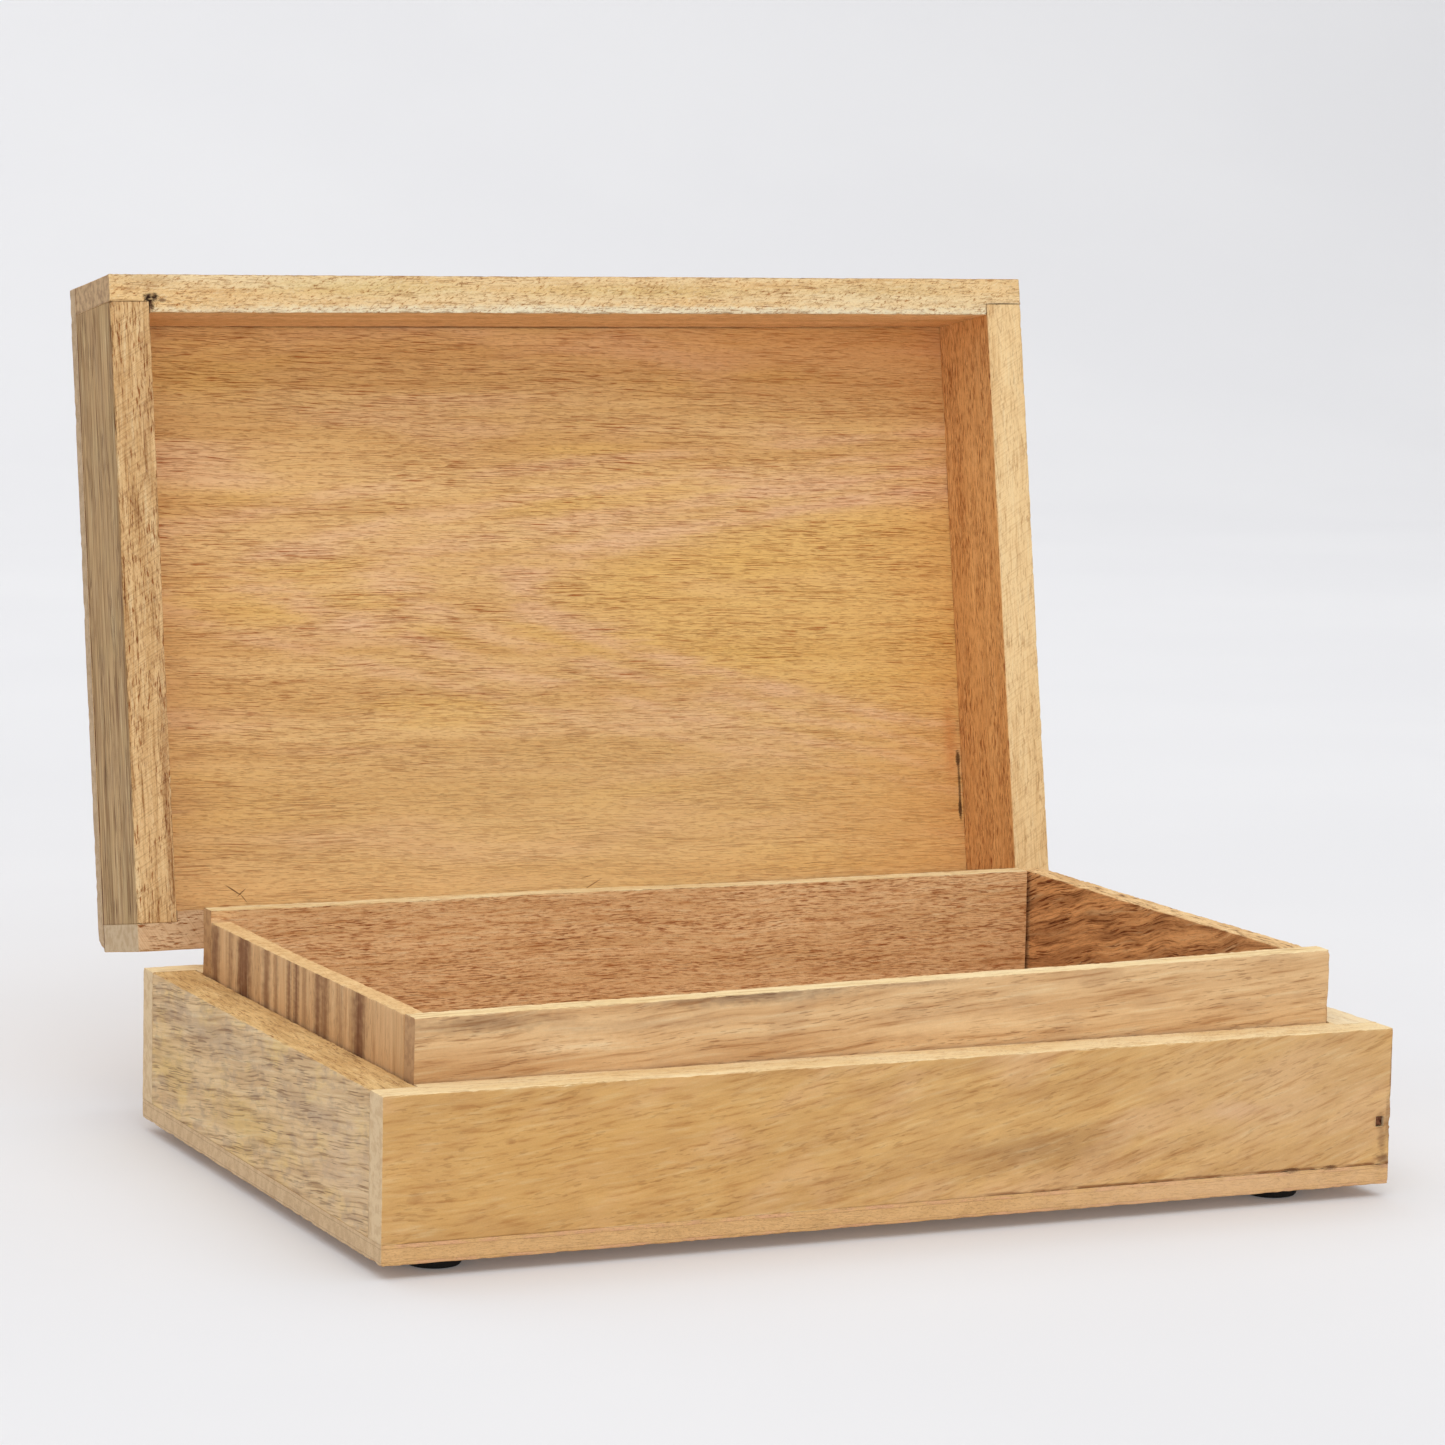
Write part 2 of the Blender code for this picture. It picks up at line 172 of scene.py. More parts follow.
class Skin:
    """A board's skin while it is being shaped, in its own axes, centred on its CAD box."""

    def __init__(self, size, step=(1, 1.6, 2.2), breaks=((), (), ()), empty=()):
        self.size = np.array(size, float)
        self.half = self.size / 2
        axes = [lines(-h, h, s, b) for h, s, b in zip(self.half, step, breaks)]
        centres = [(a[1:] + a[:-1]) / 2 for a in axes]
        x, y, z = np.meshgrid(*centres, indexing="ij")
        filled = np.ones(x.shape, bool)
        for test in empty:
            filled &= ~test(x, y, z)
        self.points, self.quads = skin(*axes, filled)
        self.flat = self.points.copy()
        self.free = np.ones(len(self.points))
        self.room = np.zeros(3)
        self.out = None
        self.extra = []

    def sink(self, amount):
        """Move each point into the wood, square to the eased surface."""
        if self.out is None:
            self.out = normals_of(self.points, self.quads)
        self.points -= self.out * amount[:, None]

    def depth(self, code):
        """How far each point was inside one of the six outer planes, before any shaping."""
        axis, sign = plane_of(code)
        return self.half[axis] - sign * self.flat[:, axis]

    def near_edge(self, edge, reach):
        """1 on an edge such as "y+z+", falling to 0 at reach away from it."""
        away = np.maximum(self.depth(edge[:2]), self.depth(edge[2:]))
        return np.clip(1 - away / reach, 0, 1)

    def ease(self, edge, radius, uneven=0.5, seed=0):
        """Round one edge; the radius wanders along it."""
        (a, sa), (b, sb) = plane_of(edge[:2]), plane_of(edge[2:])
        waves = [wander(self.flat, (wave,) * 3, seed + 5 * i) for i, wave in enumerate(EASE_WAVES)]
        r = np.clip(radius * (1 + uneven * sum(waves)), 0.03, None)
        da = self.half[a] - sa * self.points[:, a]
        db = self.half[b] - sb * self.points[:, b]
        va, vb = r - da, r - db
        length = np.sqrt(va * va + vb * vb)
        move = (va > 0) & (vb > 0) & (length > r)
        k = (r / np.maximum(length, 1e-9))[move]
        self.points[move, a] = sa * (self.half[a] - r[move] + va[move] * k)
        self.points[move, b] = sb * (self.half[b] - r[move] + vb[move] * k)

    def taper(self, top):
        """Slope the upper edge: top(x) gives how far below the box's top it lies."""
        share = (self.flat[:, 1] + self.half[1]) / self.size[1]
        self.points[:, 1] -= share * top(self.flat[:, 0])

    def hollow(self, amount, size, seed):
        """Sink the surface unevenly, never outward; the glued faces stay flat."""
        self.sink(amount * self.free * np.clip(0.5 + 0.9 * wander(self.flat, size, seed), 0, 1.2))

    def nibble(self, edge, depth, reach=0.9, size=1.7, share=0.45, seed=0, span=None):
        """Bite small chips out of an edge."""
        bite = wander(self.flat, (size,) * 3, seed) + 0.6 * wander(self.flat, (size * 5,) * 3, seed + 3)
        bite = np.clip((bite - 0.5 + share) * 2.2, 0, 1) * self.near_edge(edge, reach)
        if span is not None:
            axis, low, high = span
            t = self.flat[:, axis]
            bite = bite * np.clip((t - low) / SPAN_FADE, 0, 1) * np.clip((high - t) / SPAN_FADE, 0, 1)
        self.sink(depth * bite)

    def press(self, code, inside):
        """Put one outer plane's points back on a flat plane, a little inside it or outside."""
        axis, sign = plane_of(code)
        on = self.depth(code) < 0.01
        self.points[on, axis] = sign * (self.half[axis] - inside)

    def pit(self, centre, radii, deep):
        """Push a small hollow into the surface round a place."""
        away = np.sqrt((((self.flat - np.array(centre)) / np.array(radii)) ** 2).sum(1))
        self.sink(deep * np.clip(1.4 - away, 0, 1))

    def whiskers(self, edge, count, length, thick, seed, lift=0.35, span=None):
        """Torn fibres lying along an edge, each a closed tapering sliver rooted in the wood."""
        rng = random.Random(SEED * 1000 + seed)
        (a, sa), (b, sb) = plane_of(edge[:2]), plane_of(edge[2:])
        run = 3 - a - b
        low, high = span or (-self.half[run] + 1, self.half[run] - 1)
        for _ in range(count):
            t = rng.uniform(low, high)
            side = rng.random()
            root = np.zeros(3)
            root[run] = t
            root[a] = sa * (self.half[a] - 0.25 - 0.25 * side)
            root[b] = sb * (self.half[b] - 0.25 - 0.25 * (1 - side))
            near = np.argmin(((self.points - root) ** 2).sum(1))
            root = self.points[near].copy()
            out = np.zeros(3)
            out[a], out[b] = sa * (1 - side), sb * side
            heading = np.zeros(3)
            heading[run] = rng.choice((-1, 1))
            reach = rng.uniform(*length)
            width = rng.uniform(*thick)
            self.sliver(root - out * 0.15, heading, out, reach, width, lift * rng.uniform(0.3, 1.6), rng)

    def sliver(self, root, heading, out, reach, thick, lift, rng):
        """One curved tapering fibre with four sides."""
        side = np.cross(heading, out)
        bend = rng.uniform(-0.35, 0.35)
        rings = []
        for i in range(FIBRE_JOINTS):
            s = i / FIBRE_JOINTS
            centre = root + heading * reach * s + out * (lift * s * s + 0.08 * s) * reach ** 0.5
            centre = centre + side * bend * s * s * reach
            r = thick * (1 - 0.75 * s)
            rings.append([centre + out * r, centre + side * r, centre - out * r, centre - side * r])
        tip = root + heading * reach + out * (lift + 0.08) * reach ** 0.5 + side * bend * reach
        rings = [[self.held(p) for p in ring] for ring in rings]
        self.extra.append((rings, self.held(tip)))

    def held(self, point):
        """The nearest place inside the board's box and the room left on its rim and inner face."""
        return np.clip(point, -self.half - self.room, self.half - OUTER_CLEAR)

    def mesh(self, name):
        """Finished mesh in metres, in the board's own axes."""
        verts = [tuple(p) for p in self.points * MM]
        faces = [tuple(int(i) for i in q) for q in self.quads]
        for rings, tip in self.extra:
            start = len(verts)
            for ring in rings:
                verts += [tuple(p * MM) for p in ring]
            verts.append(tuple(tip * MM))
            faces.append((start + 3, start + 2, start + 1, start))
            last = len(rings) - 1
            for r in range(last):
                for k in range(4):
                    low, near = start + 4 * r, (k + 1) % 4
                    faces.append((low + k, low + near, low + 4 + near, low + 4 + k))
            for k in range(4):
                faces.append((start + 4 * last + k, start + 4 * last + (k + 1) % 4, len(verts) - 1))
        mesh = bpy.data.meshes.new(name)
        mesh.from_pydata(verts, [], faces)
        mesh.update()
        mesh.polygons.foreach_set("use_smooth", [True] * len(mesh.polygons))
        return mesh


# ---- node graphs ----
def tone(screen):
    """A colour given as it looks on a screen, 0xRRGGBB, in linear light."""
    parts = ((screen >> shift & 255) / 255 for shift in (16, 8, 0))
    return (*(c / 12.92 if c <= 0.04045 else ((c + 0.055) / 1.055) ** 2.4 for c in parts), 1)


class Graph:
    """One material's nodes; the methods add a node and return its output."""

    def __init__(self, name, specular=0.3, metallic=0):
        self.material = bpy.data.materials.new(name)
        self.material.use_nodes = True
        self.tree = self.material.node_tree
        self.shader = self.tree.nodes["Principled BSDF"]
        self.shader.inputs["Specular IOR Level"].default_value = specular
        self.shader.inputs["Metallic"].default_value = metallic
        self.place = self.node("TexCoord", {})
        self.at = self.vector("SCALE", self.place.outputs["Object"], scale=1 / MM)

    def node(self, kind, inputs, **settings):
        made = self.tree.nodes.new("ShaderNode" + kind)
        for key, value in settings.items():
            setattr(made, key, value)
        for key, value in inputs.items():
            if isinstance(value, bpy.types.NodeSocket):
                self.tree.links.new(value, made.inputs[key])
            else:
                made.inputs[key].default_value = value
        return made

    def vector(self, operation, a, b=(0, 0, 0), scale=1):
        made = self.node("VectorMath", {0: a, 1: b, 3: scale}, operation=operation)
        return made.outputs["Value" if operation in ("LENGTH", "DOT_PRODUCT") else "Vector"]

    def math(self, operation, a, b=0):
        return self.node("Math", {0: a, 1: b}, operation=operation).outputs[0]

    def gap(self, a, b):
        """How far apart two values are."""
        return self.math("ABSOLUTE", self.math("SUBTRACT", a, b))

    def mul(self, *values):
        return reduce(lambda a, b: self.math("MULTIPLY", a, b), values)

    def add(self, *values):
        return reduce(lambda a, b: self.math("ADD", a, b), values)

    def rest(self, value):
        """What is left of 1."""
        return self.math("SUBTRACT", 1, value)

    def mix(self, factor, a, b, blend="MIX"):
        return self.node("Mix", {0: factor, 6: a, 7: b}, data_type="RGBA", blend_type=blend).outputs[2]

    def rise(self, value, low, high, top=1):
        """0 below low, top above high, smooth between."""
        inputs = {0: value, 1: low, 2: high, 3: 0, 4: top}
        return self.node("MapRange", inputs, interpolation_type="SMOOTHSTEP").outputs[0]

    def two_tone(self, mask, tones):
        """A light and a dark colour; the mask goes from one to the other."""
        return self.mix(mask, tone(tones[0]), tone(tones[1]))

    def shaded(self, colour, value, amount):
        """A colour multiplied by a grey that falls by amount where value is 0."""
        grey = self.add(1 - amount, self.mul(value, amount))
        grey = self.node("CombineColor", {0: grey, 1: grey, 2: grey}).outputs[0]
        return self.mix(1, colour, grey, "MULTIPLY")

    def dim(self, colour, factor, tint):
        """Multiply a colour by a tint where factor is 1."""
        return self.mix(factor, colour, self.mix(1, colour, tone(tint), "MULTIPLY"))

    def grain(self, seed, length, width, slant=0, detail=2, rough=0.5, at=None, tilt=0):
        """Noise drawn out along the grain; length and width are its feature size in mm."""
        place = (seed * 37.1, seed * -11.3, seed * 5.7)
        inputs = {"Vector": at or self.at, "Location": place, "Scale": (length, width, width),
                  "Rotation": (0, math.radians(tilt), math.radians(slant))}
        turned = self.node("Mapping", inputs, vector_type="TEXTURE")
        return self.node("TexNoise", {"Vector": turned.outputs[0], "Scale": 1, "Detail": detail,
                                      "Roughness": rough}).outputs[0]

    def warped(self, seed, size, amount):
        """The place, pushed about smoothly so that grain runs unevenly."""
        push = self.node("TexNoise", {"Vector": self.at, "Scale": 1 / size, "Detail": 1, "W": seed * 3.1},
                         noise_dimensions="4D").outputs[1]
        push = self.vector("SUBTRACT", push, (0.5, 0.5, 0.5))
        push = self.vector("MULTIPLY", push, (0, amount, amount * 0.5))
        return self.vector("ADD", self.at, push)

    def part(self, axis, at=None):
        """One of the place's three coordinates in mm."""
        return self.node("SeparateXYZ", {0: at or self.at}).outputs[axis]

    def facing(self, axis, low=0.55, high=0.85, sign=0):
        """1 where the surface looks along one of the board's axes."""
        direction = tuple(float(i == axis) for i in range(3))
        dot = self.vector("DOT_PRODUCT", self.place.outputs["Normal"], direction)
        if sign == 0:
            dot = self.math("ABSOLUTE", dot)
        elif sign < 0:
            dot = self.mul(dot, -1)
        return self.rise(dot, low, high)

    def spot(self, centre, radii, soft=1, slant=0, seed=0):
        """1 at a place, fading out across radii, with a ragged outline."""
        away = self.vector("SUBTRACT", self.at, tuple(centre))
        if slant:
            away = self.node("VectorRotate", {"Vector": away, "Angle": math.radians(-slant)},
                             rotation_type="Z_AXIS").outputs[0]
        away = self.vector("LENGTH", self.vector("DIVIDE", away, tuple(radii)))
        rag = self.grain(seed + 60, min(radii) * 0.9, min(radii) * 0.5, detail=2)
        away = self.add(away, self.math("SUBTRACT", rag, 0.5))
        return self.rest(self.rise(away, 1 - soft, 1 + soft * 0.3))

    def stained(self, colour, marks, where=1):
        """Lay each mark over a colour: (centre, radii, colour, strength) and maybe softness and slant."""
        for i, (centre, radii, stain, strength, *soft_slant) in enumerate(marks):
            mask = self.mul(self.spot(centre, radii, *soft_slant, seed=i), where, strength)
            colour = self.mix(mask, colour, tone(stain))
        return colour

    def finish(self, colour, roughness, height):
        """Plug the colour, the roughness and a height in mm into the shader."""
        bump = self.node("Bump", {"Height": height, "Strength": 1, "Distance": MM})
        for key, value in (("Base Color", colour), ("Roughness", roughness), ("Normal", bump.outputs[0])):
            self.tree.links.new(value, self.shader.inputs[key])
        return self.material


# ---- wood and plywood ----
STREAK_TINT, PORE_TINT, RIM_PORE_TINT = 0xCCAC8A, 0x966842, 0xB07E4C
WOOL_TINT, GLUE_TINT, FINE_TINT = 0xBE9064, 0x8C6042, 0xD6B48E
HAIR_TINT, LONG_PORE_TINT, SHORT_PORE_TINT = 0xC68C54, 0xBA763E, 0xBA7E4A
# The pale streak colour is partly the grain's own and partly a painted sheen.
PALE_STREAK_AND_SHEEN, WOOL_LIGHT = 0xFFE8B4, 0xFFECC4
SAW_TILT, WOOL_TILT = 58, -24     # degrees off the rim's long direction
TONGUE_LENGTH, TONGUE_HALF_WIDTH, TONGUE_CLIMB = 62, 21, 0.07
TONGUE_BANDS = ((-0.1, 0.62), (-0.62, 0.5), (-1.2, 0.52), (-1.9, 0.42))    # level, strength


class Timber(Graph):
    """Grain drawn out along X and bent a little; end grain is square to X, the rim to Y."""

    def __init__(self, name, seed, slant, size, bend, sweep=None):
        super().__init__(name, specular=0.22)
        self.seed, self.slant = seed, slant
        self.bent = self.warped(seed, size, bend)
        if sweep:
            x = self.part(0)
            drop = self.add(self.mul(x, sweep[0]), self.mul(x, x, sweep[1] / 2))
            self.bent = self.vector("SUBTRACT", self.bent, self.node("CombineXYZ", {1: drop}).outputs[0])

    def along(self, offset, length, width, detail=3, rough=0.6, slant=None):
        """Noise that follows the grain."""
        slant = self.slant if slant is None else slant
        return self.grain(self.seed + offset, length, width, slant, detail, rough, self.bent)

    def patchy(self, offset, length, width, detail=3, rough=0.6, tilt=0):
        return self.grain(self.seed + offset, length, width, 0, detail, rough, tilt=tilt)


def glue_line(g, height, strength, first, last):
    """Where a dark joint line shows, along the board at one height."""
    near = g.rest(g.rise(g.gap(g.part(1), height), 0.1, 0.62))
    starts, stops = g.rise(g.part(0), first - 12, first + 12), g.rise(g.part(0), last + 4, last - 4)
    return g.mul(near, starts, stops, g.rise(g.patchy(23, 9, 3), 0.34, 0.56), strength)


def wood(name, seed, light, dark, slant=0, bands=(120, 8), streaks=(30, 1.1, 0.5), clouds=(), marks=(),
         pores=(4.5, 0.26, 0.59, 0.5), rim=None, rim_side=1, rim_dash=0.5, rim_marks=(), hatch=0, holes=(),
         end=None, inside=None, sawn=0, bend=3.2, contrast=1, tint=STREAK_TINT, pore_tint=PORE_TINT,
         sweep=None, glue=None, woolly=0, fleck=0):
    """Solid wood. Colours are as they look on a screen.

    slant: degrees the grain turns off X. bend: how far it wavers. sweep: its slope at the middle and the
    slope's change per mm. bands: length and width of the broad figure. streaks: length, width, strength.
    pores: length, width, threshold, strength. clouds: (size, amount, colour). rim, end, inside: light and
    dark colours where the board looks along Y (rim_side), X and -Z; the inside pair is mostly paler, painted
    bounce light on the inner faces. rim_dash, hatch, woolly: strength of the rim's short pores, slanting saw
    lines and torn fibres. fleck: strength of dense dashes on the inner face.
    sawn: depth of a rough cut. glue: what glue_line takes. marks, rim_marks: stains off the rim and on it.
    The last marks, laid anywhere, are painted shade in pits and dark seam lines.
    """
    g = Timber(name, seed, slant, 26, bend, sweep)
    on_rim, on_end, on_inside = g.facing(1, sign=rim_side), g.facing(0), g.facing(2, sign=-1)
    off_rim, off_end = g.rest(on_rim), g.rest(on_end)
    spread = 0.2 / contrast
    broad = g.rise(g.along(0, *bands, 4, 0.58), 0.5 - spread, 0.5 + spread)
    fine, fibre, speck = g.along(1, *streaks[:2], 4, 0.62), g.along(2, 9, 0.22), g.patchy(4, 0.42, 0.36, 2)

    colour = g.two_tone(broad, (light, dark))
    for i, (size, amount, cloud_colour) in enumerate(clouds):
        cloud = g.rise(g.along(10 + i, size * 2.2, size), 0.46, 0.66, amount)
        colour = g.mix(cloud, colour, tone(cloud_colour))
    # Inner faces get their own, mostly paler colours: painted bounce light on the faces that look into the
    # box.
    if inside:
        colour = g.mix(on_inside, colour, g.two_tone(broad, inside))
    colour = g.stained(colour, marks, off_rim)
    if rim:
        colour = g.stained(g.mix(on_rim, colour, g.two_tone(broad, rim)), rim_marks, on_rim)
    if end:
        colour = g.mix(on_end, colour, g.two_tone(g.rise(g.patchy(8, 3, 2.2), 0.4, 0.65), end))

    colour = g.dim(colour, g.mul(g.rise(fine, 0.5, 0.72, streaks[2]), off_end), tint)
    # Pale streaks along the grain, screened over as a painted sheen.
    pale_and_sheen = g.mul(g.rise(fine, 0.48, 0.28, streaks[2] * 0.3), off_end)
    colour = g.mix(pale_and_sheen, colour, tone(PALE_STREAK_AND_SHEEN), "SCREEN")
    colour = g.shaded(colour, g.add(fibre, speck), 0.15)
    dash = g.rise(g.along(3, *pores[:2], 1.5, 0.5), pores[2], pores[2] + 0.09)
    dash = g.mul(dash, g.rise(g.along(5, 22, 5, 2, 0.5), 0.36, 0.6), off_end, off_rim)
    colour = g.dim(colour, g.mul(dash, pores[3]), pore_tint)
    if fleck:
        flecks = g.rise(g.along(30, 3.4, 0.34, 3, 0.7), 0.5, 0.64)
        colour = g.dim(colour, g.mul(flecks, on_inside, fleck), pore_tint)
    short = g.rise(g.along(6, 3, 0.26, 2, slant=0), 0.54, 0.64)
    short = g.mul(short, g.rise(g.patchy(9, 9, 2.4, 2, 0.5), 0.3, 0.6), on_rim)
    colour = g.dim(colour, g.mul(short, rim_dash), RIM_PORE_TINT)
    height = g.add(g.mul(fibre, 0.05), g.mul(g.math("MAXIMUM", dash, short), -0.05), g.mul(speck, 0.02))
    if hatch:
        saw = g.patchy(7, 9, 0.38, 2, tilt=SAW_TILT)
        colour = g.dim(colour, g.mul(g.rise(saw, 0.5, 0.64), on_rim, hatch), tint)
        height = g.add(height, g.mul(saw, on_rim, 0.1))
    if woolly:
        wool = g.patchy(19, 1.3, 0.42, 4, 0.75, WOOL_TILT)
        colour = g.dim(colour, g.mul(g.rise(wool, 0.54, 0.66), on_rim, woolly), WOOL_TINT)
        colour = g.mix(g.mul(g.rise(wool, 0.46, 0.34), on_rim, woolly * 0.45), colour, tone(WOOL_LIGHT))
        height = g.add(height, g.mul(wool, on_rim, 0.22 * woolly))
    if glue:
        colour = g.dim(colour, glue_line(g, *glue), GLUE_TINT)
    # Painted shade in pits, and dark seam lines, over every face.
    colour = g.stained(colour, holes)
    if sawn:
        coarse, fuzz = g.grain(seed + 27, 3, 0.45, slant, 3, 0.7), g.patchy(17, 0.8, 0.6, 2, 0.5)
        height = g.add(height, g.mul(g.add(g.mul(coarse, 0.6), g.mul(fuzz, 0.4)), off_rim, sawn))
    return g.finish(colour, g.add(0.62, g.mul(fibre, 0.28)), height)


def tongues(g, colour, apex, axis, yellow, pink):
    """Nested tongues that open along +X: yellow inside the innermost, a pale band round each."""
    run = g.math("SUBTRACT", g.part(0, g.bent), apex)
    off = g.math("SUBTRACT", g.math("SUBTRACT", g.part(1, g.bent), axis), g.mul(run, TONGUE_CLIMB))
    arch = g.math("POWER", g.math("ABSOLUTE", g.math("DIVIDE", off, TONGUE_HALF_WIDTH)), 1.6)
    level = g.math("SUBTRACT", g.math("DIVIDE", run, TONGUE_LENGTH), arch)
    level = g.add(level, g.mul(g.math("SUBTRACT", g.patchy(20, 22, 2.2, 4, 0.65), 0.5), 0.42))
    colour = g.mix(g.rise(level, -0.1, 0.45, 0.58), colour, tone(yellow))
    cover = g.rise(g.patchy(21, 30, 8), 0.33, 0.58)
    for middle, strength in TONGUE_BANDS:
        band = g.rest(g.rise(g.gap(level, middle), 0.02, 0.26))
        colour = g.mix(g.mul(band, cover, strength), colour, tone(pink))
    return colour


def layers(g, seams, core, edge, side_edge):
    """What a sheet's edges show: two skins and a core, with glue at the seams' heights."""
    wavy = g.add(g.part(2), g.mul(g.math("SUBTRACT", g.patchy(8, 14, 9, 2, 0.5), 0.5), 0.5))
    (low, high), mottle = seams, g.rise(g.patchy(18, 7, 2.6), 0.4, 0.62)
    inner = g.mul(g.rise(wavy, low - 0.1, low + 0.1), g.rise(wavy, high + 0.1, high - 0.1))
    colour = g.mix(inner, g.two_tone(mottle, edge), g.two_tone(mottle, core))
    colour = g.mix(g.facing(0), colour, g.two_tone(mottle, side_edge))
    colour = g.dim(colour, g.rise(g.patchy(9, 0.7, 0.22, 2), 0.52, 0.7, 0.3), PORE_TINT)
    for seam in seams:
        colour = g.dim(colour, g.mul(g.rest(g.rise(g.gap(wavy, seam), 0.02, 0.16)), 0.3), PORE_TINT)
    return colour


def ply(name, seed, face, core, edge, side_edge, seams=(-1.5, 1.5), figure=None, marks=()):
    """Plywood. face: light, dark, pink and yellow. core, edge, side_edge: light and dark.

    seams: heights of the glue lines along Z. figure: (apex x, axis y) of the innermost tongue.
    """
    g = Timber(name, seed, 1, 45, 3)
    light, dark, pink, yellow = face
    colour = g.two_tone(g.rise(g.along(0, 190, 7, 4, 0.55), 0.34, 0.66), (light, dark))
    for offset, length, width, patch in ((6, 70, 13, pink), (7, 80, 12, yellow)):
        colour = g.mix(g.rise(g.along(offset, length, width, 3, 0.5), 0.5, 0.72, 0.5), colour, tone(patch))
    if figure:
        colour = tongues(g, colour, *figure, yellow, pink)
    fibre, speck = g.along(2, 6, 0.22), g.patchy(5, 0.4, 0.35, 2)
    colour = g.dim(colour, g.rise(g.along(1, 40, 0.9, 4), 0.5, 0.74, 0.27), FINE_TINT)
    colour = g.shaded(colour, g.add(fibre, speck), 0.11)
    drifts = g.rise(g.along(13, 40, 6, 2, 0.5), 0.32, 0.58)
    long_pores = g.mul(g.rise(g.along(3, 8, 0.17, 1.5, 0.5, 1.5), 0.57, 0.65), drifts)
    short_pores = g.rise(g.along(4, 2.8, 0.15, 1.5, 0.5, 2.5), 0.58, 0.67)
    hairs = g.rise(g.along(14, 24, 0.2, 2, 0.5), 0.55, 0.66)
    colour = g.dim(colour, g.mul(hairs, 0.4), HAIR_TINT)
    colour = g.dim(colour, g.mul(long_pores, 0.85), LONG_PORE_TINT)
    colour = g.dim(colour, g.mul(short_pores, 0.5), SHORT_PORE_TINT)
    colour = g.mix(g.rest(g.facing(2, 0.45, 0.75)), colour, layers(g, seams, core, edge, side_edge))
    pores = g.math("MAXIMUM", long_pores, short_pores)
    height = g.math("SUBTRACT", g.mul(fibre, 0.04), g.mul(pores, 0.05))
    return g.finish(g.stained(colour, marks), g.add(0.55, g.mul(fibre, 0.25)), height)


# ---- metal and rubber ----
def brass():
    g = Graph("aged_brass", specular=0.5, metallic=1)
    cloud = g.grain(3, 5, 4, detail=4)
    scuff = g.grain(4, 3, 0.12, 12, detail=3)
    dirt = g.grain(5, 0.8, 0.7, detail=4)
    colour = g.two_tone(g.rise(cloud, 0.35, 0.65), (0xD6B268, 0xB88E48))
    colour = g.mix(g.rise(dirt, 0.58, 0.75, 0.6), colour, tone(0x604628))
    rough = g.add(0.24, g.mul(cloud, 0.2), g.mul(scuff, 0.18))
    return g.finish(colour, rough, g.add(g.mul(scuff, 0.012), g.mul(dirt, 0.01)))


def steel():
    g = Graph("dark_steel", specular=0.5, metallic=1)
    cloud = g.grain(6, 0.8, 0.7, detail=4)
    colour = g.two_tone(g.rise(cloud, 0.4, 0.65), (0x845840, 0x543222))
    return g.finish(colour, g.add(0.4, g.mul(cloud, 0.3)), g.mul(cloud, 0.02))


def rubber():
    g = Graph("black_rubber", specular=0.35)
    grit = g.grain(8, 0.5, 0.5, detail=3)
    dust = g.grain(9, 3, 2.6, detail=4)
    colour = g.two_tone(g.rise(dust, 0.5, 0.8, 0.35), (0x141313, 0x342E28))
    return g.finish(colour, g.add(0.6, g.mul(dust, 0.3)), g.mul(grit, 0.03))


# ---- placing ----
WOOD_SLOTS = {"base": "wall_wood", "lid": "wall_wood", "liner": "liner_wood"}
RIM_SIDES = {"base": 1, "lid": -1, "liner": 1}


def place(shape, node, side, material, slot_name):
    """Turn a finished skin into the piece that stands for a CAD node."""
    low, high = closed_box(node)
    body = frame["nodes"][node]["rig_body"]
    obj = bpy.data.objects.new(node + "_board", shape.mesh(node + "_board"))
    bpy.context.scene.collection.objects.link(obj)
    obj.data.materials.append(material)
    centre = Matrix.Translation(Vector((low + high) / 2 * MM))
    obj.matrix_world = (SWING if body == "lid" else STAY) @ centre @ turn_of(side)
    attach(obj, body)
    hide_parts(node)


def place_wood(shape, node, seed, light, dark, **look):
    """Give a board its own wood and place it; the node's name says its group and side."""
    group, side = node.split("_")[:2]
    material = wood(f"{group}_{side}_wood", seed, light, dark, rim_side=RIM_SIDES[group], **look)
    place(shape, node, side, material, WOOD_SLOTS[group])


def marks_from(corner, rows):
    """The marks in rows, with their places (x, y and maybe z) measured from a corner."""
    return [(tuple(np.add(corner, (*place_at, 0)[:3])), *rest) for place_at, *rest in rows]


# ---- boards of the base and the lid ----
GAP = 0.3                # what the frame leaves between neighbouring pieces
SEAM_REACH = 0.27        # how far a glued edge reaches into it
EASE = 0.5               # usual radius of a worn edge
LID_ROOM = (0, 0.12, 0.5)   # how far torn fibres may stand off a lid board's rim and inner face
WARP = (0.14, (48, 30, 30))   # depth and feature size of a board's broad hollows
PLANING = (0.05, (5, 1.6, 1.6))
HOLE_RINGS = (-0.25, 0, 0.25, 0.5)
PALE = (0xFFE8B8, 0xF4D49C)
CREAM_END = (0xE8CCA2, 0xDABA90)


def own_size(node, side):
    """A board's length, height and thickness from its CAD box."""
    low, high = closed_box(node)
    turned = turn_of(side).to_3x3().transposed() @ Vector(high - low)
    return tuple(abs(v) for v in turned)


def rabbet_of(group, side):
    """Thickness of the tongue and length of the rabbet at a long board's ends."""
    wall, neighbour = closed_box(f"{group}_{side}_wall"), closed_box(f"{group}_left_wall")
    if side == "front":
        tongue = neighbour[0][1] - wall[0][1]
    else:
        tongue = wall[1][1] - neighbour[1][1]
    return tongue - GAP, neighbour[1][0] - neighbour[0][0] + GAP - SEAM_REACH


